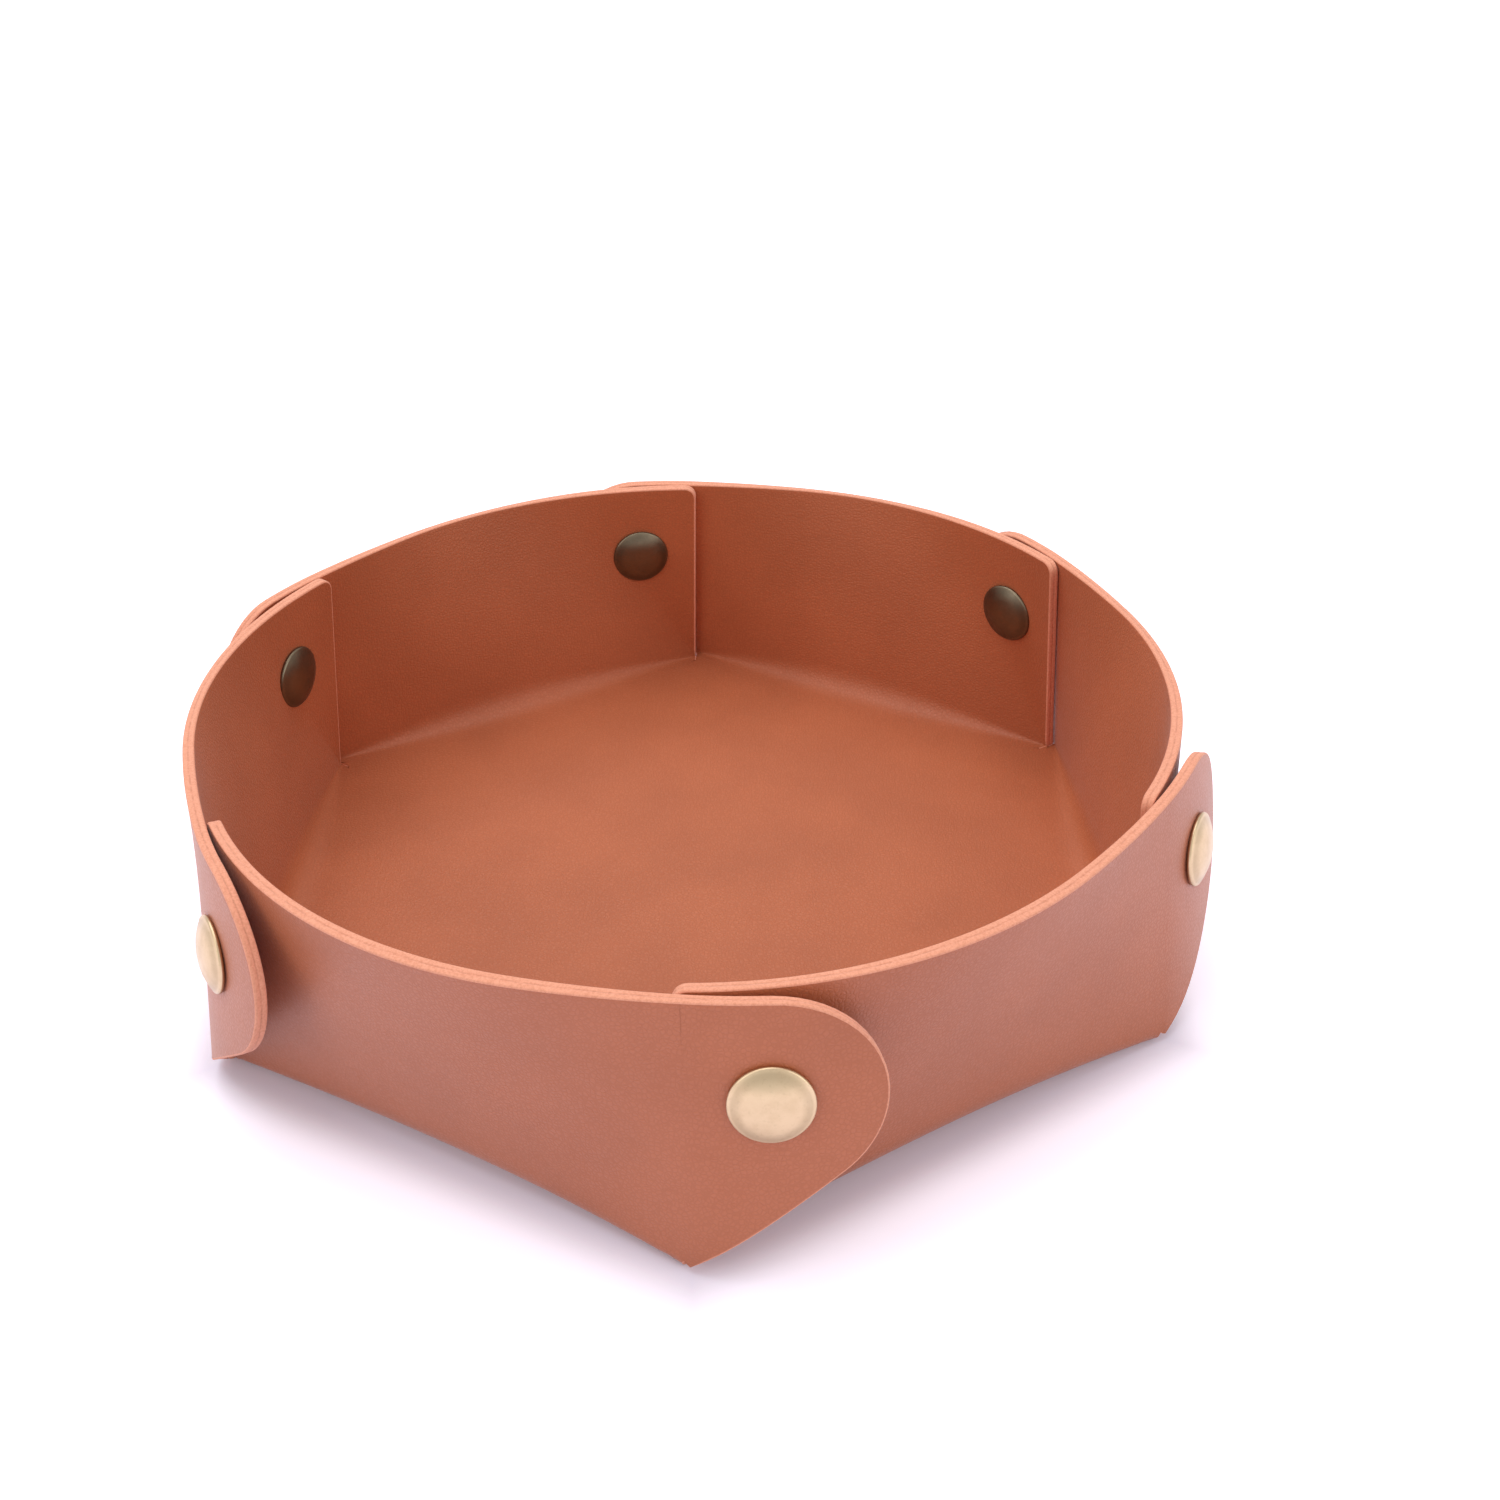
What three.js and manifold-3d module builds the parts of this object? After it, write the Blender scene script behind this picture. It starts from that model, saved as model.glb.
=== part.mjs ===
// Folding leather tray: one hexagonal sheet of two-ply leather, slit at its corners,
// folded up into a round-rimmed tray and held by a press snap at each corner.
// Millimetres, +Z up, the origin under the middle of the floor.
// Every side runs counter-clockwise: it starts as a plain inner end behind its neighbour
// and ends in a tab that laps over the outside of the next side.
import * as THREE from 'three';
import { mergeVertices } from 'three/addons/utils/BufferGeometryUtils.js';
import Module from 'manifold-3d';

const wasm = await Module();
wasm.setup();

// Sheet
const SIDES = 6;
const LEATHER = 2; // two bonded plies
const CORNER_RADIUS = 91; // middle of the tray to the middle of the leather at a base corner
const RIM_HEIGHT = 47.5; // table to the top edge
const RIM_INSET = 5; // how far the rim lies inside the base corners
const INNER_FLAT = 22.5; // straight stretch of the rim at the inner end of a side
const END_LEAD = 1.5; // how far that end reaches before its corner, at the rim
const END_ROUND = 2.5; // rounded upper corner of a side's inner end
const FOLD_BEND = 8; // leg of the soft bend along the middle of a base edge
const FOLD_RAMP = 9; // length over which that bend starts at a base corner
const CORNER_RELIEF = 3; // leather left out round the end of each slit
const FLOOR_SEAM = 0.6; // air between the floor and the start of a bend
const TAB_SEAM = 0.3; // air between a side and its tab
const TAB_SWING = THREE.MathUtils.degToRad(-1); // a tab faces this far past the way its corner points
const END_SWING = THREE.MathUtils.degToRad(7); // and the inner end under it this far

// Snaps
const SNAP_PAST_CORNER = 11.5;
const SNAP_BELOW_RIM = 16; // also the round end of a tab
const CAP_DIAMETER = 12.5;
const CAP_EDGE = 0.9; // height of the rolled edge
const CAP_DOME = 2.2; // height of the dome
const CAP_POST_DIAMETER = 3.2;
const CAP_FLARE_DIAMETER = 4;
const FLARE_THICKNESS = 0.3;
const BACK_POST_DIAMETER = 2;
const SOCKET_DIAMETER = 9.6;
const SOCKET_HEIGHT = 1.2;
const SOCKET_FLOOR = 0.3;
const SOCKET_CAVITY_DIAMETER = 6.6;
const SOCKET_MOUTH_DIAMETER = 5;
const SOCKET_LIP = 0.2;
const SPRING_WIRE = 0.44;
const SPRING_DIAMETER = 5.7; // middle of the wire
const SPRING_OPENING = 50; // degrees left open in the ring
const STUD_FLANGE_DIAMETER = 8.8;
const STUD_FLANGE = 0.3;
const STUD_HEIGHT = 0.9;
const STUD_NECK_DIAMETER = 3.2;
const STUD_HEAD_DIAMETER = 3.9;
const SEAT_DEPTH = 0.2; // how deep a socket or stud is pressed into its leather
const SEAT_GAP = 0.15; // air under a metal piece on its leather
const BACK_CAP_GAP = 0.35; // air under the middle of an inner cap, where the leather is dished
const POST_CLEARANCE = 0.2; // air round a post in its hole
const SNAP_CLEARANCE = 0.2; // stud to socket, where the ring of sides is open

// Fineness
const ARC_COLUMNS = 10;
const FLAT_COLUMNS = 4;
const ROUND_COLUMNS = 3;
const BEND_ROWS = 3;
const WALL_ROWS = 3;
const TAB_COLUMNS = 12;
const TAB_ROWS = 2;
const FLOOR_STEPS = 10;
const CAP_SEGMENTS = 18;
const SNAP_SEGMENTS = 12;
const DOME_STEPS = 3;
const WIRE_SIDES = 6;
const SPRING_STEPS = 12;

// Worked out from the sizes above
const HALF = Math.PI / SIDES;
const FLOOR_MID = LEATHER / 2;
const EDGE_LENGTH = 2 * CORNER_RADIUS * Math.sin(HALF);
const APOTHEM = CORNER_RADIUS * Math.cos(HALF);
const FLAT_DISTANCE = CORNER_RADIUS - RIM_INSET;
const SNAP_GAP = STUD_HEIGHT + SNAP_CLEARANCE + SOCKET_HEIGHT + 2 * (SEAT_GAP - SEAT_DEPTH);
const SPREAD = SNAP_PAST_CORNER * (Math.tan(END_SWING) - Math.tan(TAB_SWING));
const LAP = (LEATHER + SNAP_GAP - SPREAD) / 2; // from the base corner to the middle of either layer

const LEATHER_FINISH = { color: 0x8a4326, roughness: 0.55, metalness: 0 };
const CAP_FINISH = { color: 0x7d6240, roughness: 0.38, metalness: 1 };
const SNAP_FINISH = { color: 0x2a2725, roughness: 0.5, metalness: 1 };
const SPRING_FINISH = { color: 0xb9bcbd, roughness: 0.35, metalness: 1 };

const lerp = THREE.MathUtils.lerp;
const smooth = (value, start, end) => THREE.MathUtils.smoothstep(value, start, end);
const polar = (azimuth, radius, height) =>
  new THREE.Vector3(radius * Math.cos(azimuth), radius * Math.sin(azimuth), height);

// A mesh of one sub-part.
function piece(name, geometry, finish) {
  const mesh = new THREE.Mesh(geometry, new THREE.MeshStandardMaterial(finish));
  mesh.name = name;
  return mesh;
}

// A closed mesh as a solid that can be cut.
function solid(geometry) {
  const bare = geometry.clone();
  bare.deleteAttribute('normal');
  bare.deleteAttribute('uv');
  const merged = mergeVertices(bare, 1e-4);
  const vertProperties = new Float32Array(merged.attributes.position.array);
  const triVerts = new Uint32Array(merged.index.array);
  return new wasm.Manifold(new wasm.Mesh({ numProp: 3, vertProperties, triVerts }));
}

// One geometry with another taken out of it.
function cut(body, tool) {
  const mesh = solid(body).subtract(solid(tool)).getMesh();
  const geometry = new THREE.BufferGeometry();
  geometry.setAttribute('position', new THREE.BufferAttribute(mesh.vertProperties, 3));
  geometry.setIndex(new THREE.BufferAttribute(mesh.triVerts, 1));
  geometry.computeVertexNormals();
  return geometry;
}

// The plane of one layer at a corner: its origin is the foot of the layer, X points out of the tray,
// Y runs along the rim past the corner and Z runs up the layer.
function cornerFrame(azimuth, swing, lap) {
  const origin = polar(azimuth, CORNER_RADIUS + lap, FLOOR_MID);
  const along = polar(azimuth + swing + Math.PI / 2, 1, 0);
  const up = polar(azimuth, -RIM_INSET, RIM_HEIGHT - FLOOR_MID);
  up.addScaledVector(along, -up.dot(along));
  const length = up.length();
  up.normalize();
  const out = along.clone().cross(up);
  const matrix = new THREE.Matrix4().makeBasis(out, along, up).setPosition(origin);
  return { origin, along, length, matrix };
}

const TAB_FRAME = cornerFrame(HALF, TAB_SWING, LAP);
const END_FRAME = cornerFrame(-HALF, END_SWING, -LAP);

// Middle of a snap in its tab, and the point of the inner end that faces the middle of its gap.
const TAB_SNAP = new THREE.Vector3(0, SNAP_PAST_CORNER, TAB_FRAME.length - SNAP_BELOW_RIM);
const END_SNAP = new THREE.Vector3(-(LEATHER + SNAP_GAP) / 2, TAB_SNAP.y, TAB_SNAP.z)
  .applyMatrix4(TAB_FRAME.matrix)
  .applyAxisAngle(new THREE.Vector3(0, 0, 1), -2 * HALF)
  .applyMatrix4(END_FRAME.matrix.clone().invert());

// The rim of a side: a straight inner end, an arc, and a straight stretch that goes on into the tab.
const RIM_START = polar(-HALF, FLAT_DISTANCE - LAP, RIM_HEIGHT);
const RIM_END = polar(HALF, FLAT_DISTANCE + LAP, RIM_HEIGHT);
const ARC_TURN = 2 * HALF + TAB_SWING - END_SWING;
const RIM_CHORD = RIM_END.clone().sub(RIM_START);
const ARC_TANGENT = RIM_CHORD.clone().cross(TAB_FRAME.along).z / Math.sin(ARC_TURN) - INNER_FLAT;
const LAST_FLAT = END_FRAME.along.clone().cross(RIM_CHORD).z / Math.sin(ARC_TURN) - ARC_TANGENT;
const ARC_RADIUS = ARC_TANGENT / Math.tan(ARC_TURN / 2);
const ARC_END = INNER_FLAT + ARC_RADIUS * ARC_TURN;
const SIDE_LENGTH = ARC_END + LAST_FLAT;

// A point of the rim, given as a length along it from the corner where the side starts.
function rimPoint(length) {
  const turn = THREE.MathUtils.clamp((length - INNER_FLAT) / ARC_RADIUS, 0, ARC_TURN);
  const first = END_SWING - HALF;
  const onFlat = length - INNER_FLAT - turn * ARC_RADIUS; // before the arc or past it
  return RIM_START.clone()
    .addScaledVector(END_FRAME.along, INNER_FLAT)
    .sub(polar(first, ARC_RADIUS, 0))
    .add(polar(first + turn, ARC_RADIUS, 0))
    .add(polar(first + turn + Math.PI / 2, onFlat, 0));
}

// A point of the base edge that a side stands on.
function footPoint(share) {
  return END_FRAME.origin.clone().lerp(TAB_FRAME.origin, share);
}

// How far the soft bend reaches along the leather at a share of the base edge.
function bendLeg(share) {
  return FOLD_BEND * 4 * share * (1 - share);
}

// How much of that bend is there: none at the corners, all of it away from them.
function bendWeight(share) {
  const fromCorner = Math.min(share, 1 - share) * EDGE_LENGTH;
  return smooth(fromCorner, 0, FOLD_RAMP);
}

// Share of the base edge that a length along the rim stands on.
function footShare(length) {
  return smooth(length, INNER_FLAT, ARC_END);
}

// Lengths along the rim at which a side has a column of points.
function wallLengths() {
  const lengths = [];
  for (let i = 0; i < ROUND_COLUMNS; i += 1) {
    lengths.push(END_ROUND * (1 - Math.cos((i / ROUND_COLUMNS) * (Math.PI / 2))) - END_LEAD);
  }
  for (let i = 0; i < FLAT_COLUMNS; i += 1) {
    lengths.push(lerp(END_ROUND - END_LEAD, INNER_FLAT, i / FLAT_COLUMNS));
  }
  for (let i = 0; i <= ARC_COLUMNS; i += 1) {
    lengths.push(lerp(INNER_FLAT, ARC_END, i / ARC_COLUMNS));
  }
  lengths.push(SIDE_LENGTH);
  return lengths;
}

// One column of a side's middle surface, from the floor round the bend to the rim.
function wallColumn(length) {
  const share = footShare(length);
  const foot = footPoint(share);
  const rim = rimPoint(length);
  const fromRound = Math.max(END_ROUND - END_LEAD - length, 0);
  const roundDrop = END_ROUND - Math.sqrt(END_ROUND ** 2 - fromRound ** 2);
  rim.lerp(foot, roundDrop / (RIM_HEIGHT - FLOOR_MID));
  const up = rim.clone().sub(foot).normalize();
  const weight = bendWeight(share);
  const leg = bendLeg(share) * weight;
  const startRise = CORNER_RELIEF * (1 - weight);
  const endRise = Math.max(leg, startRise + CORNER_RELIEF);
  const start = foot.clone().addScaledVector(up, startRise).add(new THREE.Vector3(-leg, 0, 0));
  const bend = foot.clone().addScaledVector(up, lerp((startRise + endRise) / 2, 0, weight));
  const end = foot.clone().addScaledVector(up, endRise);
  const curve = new THREE.QuadraticBezierCurve3(start, bend, end);
  const points = curve.getPoints(BEND_ROWS);
  for (let row = 1; row <= WALL_ROWS; row += 1) {
    points.push(end.clone().lerp(rim, row / WALL_ROWS));
  }
  return points;
}

// Unit normals of a grid of points, out of the tray.
function gridNormals(grid) {
  const last = grid.length - 1;
  return grid.map((column, i) =>
    column.map((point, j) => {
      const top = column.length - 1;
      const along = grid[Math.min(i + 1, last)][j].clone().sub(grid[Math.max(i - 1, 0)][j]);
      const up = column[Math.min(j + 1, top)].clone().sub(column[Math.max(j - 1, 0)]);
      return along.cross(up).normalize();
    }),
  );
}

// A closed sheet of leather about a grid of points of its middle surface.
function sheetGeometry(grid) {
  const normals = gridNormals(grid);
  const columns = grid.length;
  const rows = grid[0].length;
  const positions = [];
  for (const face of [0.5, -0.5]) {
    grid.forEach((column, i) => {
      column.forEach((point, j) => {
        const moved = point.clone().addScaledVector(normals[i][j], face * LEATHER);
        positions.push(moved.x, moved.y, moved.z);
      });
    });
  }
  const outer = (i, j) => i * rows + j;
  const inner = (i, j) => columns * rows + i * rows + j;
  const index = [];
  const quad = (a, b, c, d) => index.push(a, b, c, a, c, d);
  for (let i = 0; i < columns - 1; i += 1) {
    for (let j = 0; j < rows - 1; j += 1) {
      quad(outer(i, j), outer(i + 1, j), outer(i + 1, j + 1), outer(i, j + 1));
      quad(inner(i, j), inner(i, j + 1), inner(i + 1, j + 1), inner(i + 1, j));
    }
    quad(outer(i, 0), inner(i, 0), inner(i + 1, 0), outer(i + 1, 0));
    quad(outer(i, rows - 1), outer(i + 1, rows - 1), inner(i + 1, rows - 1), inner(i, rows - 1));
  }
  for (let j = 0; j < rows - 1; j += 1) {
    quad(outer(0, j), outer(0, j + 1), inner(0, j + 1), inner(0, j));
    quad(outer(columns - 1, j), inner(columns - 1, j), inner(columns - 1, j + 1), outer(columns - 1, j + 1));
  }
  const geometry = new THREE.BufferGeometry();
  geometry.setAttribute('position', new THREE.Float32BufferAttribute(positions, 3));
  geometry.setIndex(index);
  geometry.computeVertexNormals();
  return geometry;
}

// A round cutter on a snap's axis, between two heights over the middle of the leather.
function snapCutter(diameter, low, high, snap, frame) {
  const radius = diameter / 2 + POST_CLEARANCE;
  const tool = new THREE.CylinderGeometry(radius, radius, high - low, SNAP_SEGMENTS);
  tool.rotateZ(-Math.PI / 2);
  tool.translate((low + high) / 2, snap.y, snap.z);
  return tool.applyMatrix4(frame.matrix);
}

// Floor: the flat middle of the sheet, its edges drawn in where the soft bends start.
function floorGeometry() {
  const outline = [];
  for (let side = 0; side < SIDES; side += 1) {
    for (let step = 0; step < FLOOR_STEPS; step += 1) {
      const share = step / FLOOR_STEPS;
      const point = footPoint(share);
      point.x -= bendLeg(share) * bendWeight(share) + FLOOR_SEAM;
      point.y *= 1 - FLOOR_SEAM / APOTHEM;
      outline.push(new THREE.Vector2(point.x, point.y).rotateAround(new THREE.Vector2(), 2 * HALF * side));
    }
  }
  return new THREE.ExtrudeGeometry(new THREE.Shape(outline), { depth: LEATHER, bevelEnabled: false });
}

// Side: from its inner end round to the next corner.
function wallGeometry() {
  const sheet = sheetGeometry(wallLengths().map(wallColumn));
  const seat = LEATHER / 2 - SEAT_DEPTH;
  const bored = cut(sheet, snapCutter(BACK_POST_DIAMETER, -LEATHER, LEATHER, END_SNAP, END_FRAME));
  return cut(bored, snapCutter(STUD_FLANGE_DIAMETER, seat, LEATHER, END_SNAP, END_FRAME));
}

// Tab: a flat fan of leather from the corner, round about its snap.
function tabGeometry() {
  const snapAngle = Math.atan2(TAB_SNAP.y, TAB_SNAP.z);
  const snapReach = TAB_SNAP.length();
  const lastAngle = snapAngle + Math.asin(SNAP_BELOW_RIM / snapReach);
  const rimStart = RIM_END.clone().applyMatrix4(TAB_FRAME.matrix.clone().invert());
  const firstAngle = Math.atan2(rimStart.y, rimStart.z);
  const roundAngle = Math.atan2(TAB_SNAP.y, TAB_FRAME.length);
  const grid = [];
  for (let i = 0; i <= TAB_COLUMNS; i += 1) {
    const angle = lerp(firstAngle, lastAngle, (1 - Math.cos((i / TAB_COLUMNS) * Math.PI)) / 2);
    const aside = snapReach * Math.sin(angle - snapAngle);
    const onRound = Math.sqrt(Math.max(SNAP_BELOW_RIM ** 2 - aside ** 2, 0));
    const round = snapReach * Math.cos(angle - snapAngle) + onRound;
    const reach = angle < roundAngle ? TAB_FRAME.length / Math.cos(angle) : round;
    const column = [];
    for (let j = 0; j <= TAB_ROWS; j += 1) {
      const radius = lerp(CORNER_RELIEF, reach, j / TAB_ROWS);
      column.push(new THREE.Vector3(0, radius * Math.sin(angle) + TAB_SEAM, radius * Math.cos(angle)));
    }
    grid.push(column);
  }
  const sheet = sheetGeometry(grid).applyMatrix4(TAB_FRAME.matrix);
  const seat = SEAT_DEPTH - LEATHER / 2;
  const bored = cut(sheet, snapCutter(CAP_POST_DIAMETER, -LEATHER, LEATHER, TAB_SNAP, TAB_FRAME));
  return cut(bored, snapCutter(SOCKET_DIAMETER, -LEATHER, seat, TAB_SNAP, TAB_FRAME));
}

// A turned piece whose profile is given as [radius, height], its axis along X.
function turned(profile, segments) {
  const points = profile.map(([radius, height]) => new THREE.Vector2(radius, height));
  return new THREE.LatheGeometry(points, segments).rotateZ(-Math.PI / 2);
}

// Domed cap with a rolled edge, on a post that reaches down through its leather.
function capGeometry(postDiameter, postLength, flareDiameter) {
  const radius = CAP_DIAMETER / 2;
  const roll = CAP_EDGE / 2;
  const post = postDiameter / 2;
  const flare = flareDiameter / 2;
  const profile = [
    [0, -postLength],
    [flare, -postLength],
    [flare, FLARE_THICKNESS - postLength],
    [post, FLARE_THICKNESS - postLength],
    [post, 0],
    [radius - roll, 0],
    [radius, roll],
  ];
  for (let step = 0; step <= DOME_STEPS; step += 1) {
    const share = 1 - step / DOME_STEPS;
    const height = lerp(CAP_EDGE, CAP_DOME, 1 - share ** 2);
    profile.push([(radius - roll) * share, height]);
  }
  return turned(profile, CAP_SEGMENTS);
}

// Socket: a shallow cup with a floor hole for the cap's post and a lip that keeps its spring.
function socketGeometry() {
  const bore = CAP_POST_DIAMETER / 2 + POST_CLEARANCE;
  const outer = SOCKET_DIAMETER / 2;
  const cavity = SOCKET_CAVITY_DIAMETER / 2;
  const mouth = SOCKET_MOUTH_DIAMETER / 2;
  const shoulder = (outer + cavity) / 2;
  const profile = [
    [bore, -SOCKET_FLOOR],
    [cavity, -SOCKET_FLOOR],
    [cavity, SOCKET_LIP - SOCKET_HEIGHT],
    [mouth, SOCKET_LIP - SOCKET_HEIGHT],
    [mouth, -SOCKET_HEIGHT],
    [shoulder, -SOCKET_HEIGHT],
    [shoulder, -SOCKET_FLOOR],
    [outer, -SOCKET_FLOOR],
    [outer, 0],
    [bore, 0],
    [bore, -SOCKET_FLOOR],
  ];
  return turned(profile, SNAP_SEGMENTS);
}

// Spring: an open ring of round wire that lies loose in the socket.
function springGeometry() {
  const opening = THREE.MathUtils.degToRad(SPRING_OPENING);
  const height = -(SOCKET_FLOOR + SOCKET_HEIGHT - SOCKET_LIP) / 2;
  const wire = new THREE.Shape();
  wire.absarc(0, 0, SPRING_WIRE / 2, 0, 2 * Math.PI);
  const ring = new THREE.Curve();
  ring.getPoint = (share) => {
    const angle = lerp(opening / 2, 2 * Math.PI - opening / 2, share);
    const radius = SPRING_DIAMETER / 2;
    return new THREE.Vector3(height, radius * Math.cos(angle), radius * Math.sin(angle));
  };
  const options = { steps: SPRING_STEPS, curveSegments: WIRE_SIDES / 2, extrudePath: ring };
  return new THREE.ExtrudeGeometry(wire, options);
}

// Stud: a flat flange with a waisted head, bored for the post of the inner cap.
function studGeometry() {
  const bore = BACK_POST_DIAMETER / 2 + POST_CLEARANCE;
  const flange = STUD_FLANGE_DIAMETER / 2;
  const neck = STUD_NECK_DIAMETER / 2;
  const head = STUD_HEAD_DIAMETER / 2;
  const rise = STUD_HEIGHT - STUD_FLANGE;
  const profile = [
    [bore, 0],
    [flange, 0],
    [flange, STUD_FLANGE],
    [neck, STUD_FLANGE],
    [head, STUD_FLANGE + rise / 2],
    [neck, STUD_HEIGHT],
    [bore, STUD_HEIGHT],
    [bore, 0],
  ];
  return turned(profile, SNAP_SEGMENTS);
}

const SEATED_LEATHER = LEATHER - SEAT_DEPTH + 2 * SEAT_GAP;
const POST_END = SEATED_LEATHER + SOCKET_FLOOR + SEAT_GAP + FLARE_THICKNESS;
const BACK_POST_END = SEATED_LEATHER + BACK_CAP_GAP - SEAT_GAP + STUD_HEIGHT - FLARE_THICKNESS;
const FLOOR_GEOMETRY = floorGeometry();
const WALL_GEOMETRY = wallGeometry();
const TAB_GEOMETRY = tabGeometry();
const CAP_GEOMETRY = capGeometry(CAP_POST_DIAMETER, POST_END, CAP_FLARE_DIAMETER);
const BACK_CAP_GEOMETRY = capGeometry(BACK_POST_DIAMETER, BACK_POST_END, BACK_POST_DIAMETER).rotateZ(Math.PI);
const SOCKET_GEOMETRY = socketGeometry();
const SPRING_GEOMETRY = springGeometry();
const STUD_GEOMETRY = studGeometry();

// A group on a snap's axis, at a height over the middle of the leather.
function snapGroup(frame, snap, height, ...pieces) {
  const place = new THREE.Group();
  place.position.set(height, snap.y, snap.z);
  place.add(...pieces);
  const corner = new THREE.Group();
  frame.matrix.decompose(corner.position, corner.quaternion, corner.scale);
  corner.add(place);
  return corner;
}

// One side of the tray with its tab, the socket half of the snap on that tab and the stud
// half of the snap on its own inner end.
function side(number) {
  const group = new THREE.Group();
  group.rotation.z = 2 * HALF * (number - 1) + HALF - Math.PI / 2;
  const capSeat = LEATHER / 2 + SEAT_GAP;
  const backCapSeat = LEATHER / 2 + BACK_CAP_GAP;
  const snapSeat = LEATHER / 2 - SEAT_DEPTH + SEAT_GAP;
  const socket = piece(`socket_${number}`, SOCKET_GEOMETRY, SNAP_FINISH);
  const spring = piece(`spring_ring_${number}`, SPRING_GEOMETRY, SPRING_FINISH);
  group.add(
    piece(`wall_${number}`, WALL_GEOMETRY, LEATHER_FINISH),
    piece(`tab_${number}`, TAB_GEOMETRY, LEATHER_FINISH),
    snapGroup(TAB_FRAME, TAB_SNAP, capSeat, piece(`cap_${number}`, CAP_GEOMETRY, CAP_FINISH)),
    snapGroup(TAB_FRAME, TAB_SNAP, -snapSeat, socket, spring),
    snapGroup(END_FRAME, END_SNAP, snapSeat, piece(`stud_${number}`, STUD_GEOMETRY, SNAP_FINISH)),
    snapGroup(END_FRAME, END_SNAP, -backCapSeat, piece(`back_cap_${number}`, BACK_CAP_GEOMETRY, CAP_FINISH)),
  );
  return group;
}

const tray = new THREE.Group();
tray.name = 'folding_leather_tray';
tray.add(piece('floor_panel', FLOOR_GEOMETRY, LEATHER_FINISH));
for (let number = 1; number <= SIDES; number += 1) {
  tray.add(side(number));
}

export default tray;
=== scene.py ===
"""Folding leather tray, dressed for its studio picture.

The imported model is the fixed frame. This script makes the folded leather again as fine, soft
sheets with cut edges, turns the press snaps at full roundness, and gives each piece its finish.
Lengths are in millimetres until a mesh is made, and meshes are in metres.
"""

import logging
import math
from dataclasses import dataclass, field
from enum import Enum
from typing import Any, Union

import bpy
import numpy as np
from mathutils import Matrix, Quaternion, Vector

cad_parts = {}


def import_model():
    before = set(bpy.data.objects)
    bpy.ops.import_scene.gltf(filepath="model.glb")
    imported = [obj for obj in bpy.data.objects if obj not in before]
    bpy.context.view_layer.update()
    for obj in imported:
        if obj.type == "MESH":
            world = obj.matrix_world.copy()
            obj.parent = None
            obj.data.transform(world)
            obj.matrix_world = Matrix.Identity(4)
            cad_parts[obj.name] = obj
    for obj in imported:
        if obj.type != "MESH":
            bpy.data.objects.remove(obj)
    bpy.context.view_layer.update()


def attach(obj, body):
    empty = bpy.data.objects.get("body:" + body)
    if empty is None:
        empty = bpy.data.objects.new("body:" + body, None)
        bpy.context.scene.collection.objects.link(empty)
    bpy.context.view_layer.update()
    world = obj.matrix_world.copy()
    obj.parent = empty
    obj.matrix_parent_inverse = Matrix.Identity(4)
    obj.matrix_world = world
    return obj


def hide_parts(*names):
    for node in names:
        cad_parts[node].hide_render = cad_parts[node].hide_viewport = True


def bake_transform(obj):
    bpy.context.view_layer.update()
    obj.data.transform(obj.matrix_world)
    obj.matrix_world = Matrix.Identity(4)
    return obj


LOG = logging.getLogger("leather_tray")
MM = 0.001
SIDES = 6
HALF = math.pi / SIDES
UP = np.array([0.0, 0.0, 1.0])
SHARP = math.radians(50)
NO_LENGTH = 1e-12
ON_AXIS = 1e-6
ROUND_STEPS = 4
FAN_TRIES = 400
NOISE_MIDDLE = 0.5

Place = tuple[int, int]
Edge = tuple[Place, Place]


class Slot(Enum):
    """Material slots of the record."""

    LEATHER = "leather"
    CAP = "cap_metal"
    SNAP = "snap_metal"
    SPRING = "spring_wire"


def smooth(value: float, start: float, end: float) -> float:
    """Ease a value from 0 to 1.

    Args:
        value: Where to look.
        start: Where the rise begins.
        end: Where it is over.

    Returns:
        The eased share between 0 and 1.
    """
    share = min(max((value - start) / (end - start), 0.0), 1.0)
    return share * share * (3 - 2 * share)


def lerp(first: Any, last: Any, share: float) -> Any:
    """Value or point at a share of the way from the first to the last."""
    return first + (last - first) * share


def unit(vector: np.ndarray) -> np.ndarray:
    """The same direction with length 1."""
    return vector / np.linalg.norm(vector)


def polar(azimuth: float, radius: float, height: float) -> np.ndarray:
    """Point at an azimuth, a distance from the upright axis and a height."""
    return np.array([radius * math.cos(azimuth), radius * math.sin(azimuth), height])


def turn_about_up(angle: float) -> np.ndarray:
    """Rotation about the upright axis, as a 3 by 3 matrix."""
    cos, sin = math.cos(angle), math.sin(angle)
    return np.array([[cos, -sin, 0.0], [sin, cos, 0.0], [0.0, 0.0, 1.0]])


def turned_to_side(number: int) -> np.ndarray:
    """Rotation from the frame of a side to the tray.

    Args:
        number: The side, counted from 1.

    Returns:
        A 3 by 3 matrix.
    """
    return turn_about_up(2 * HALF * (number - 1) + HALF - math.pi / 2)


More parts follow.
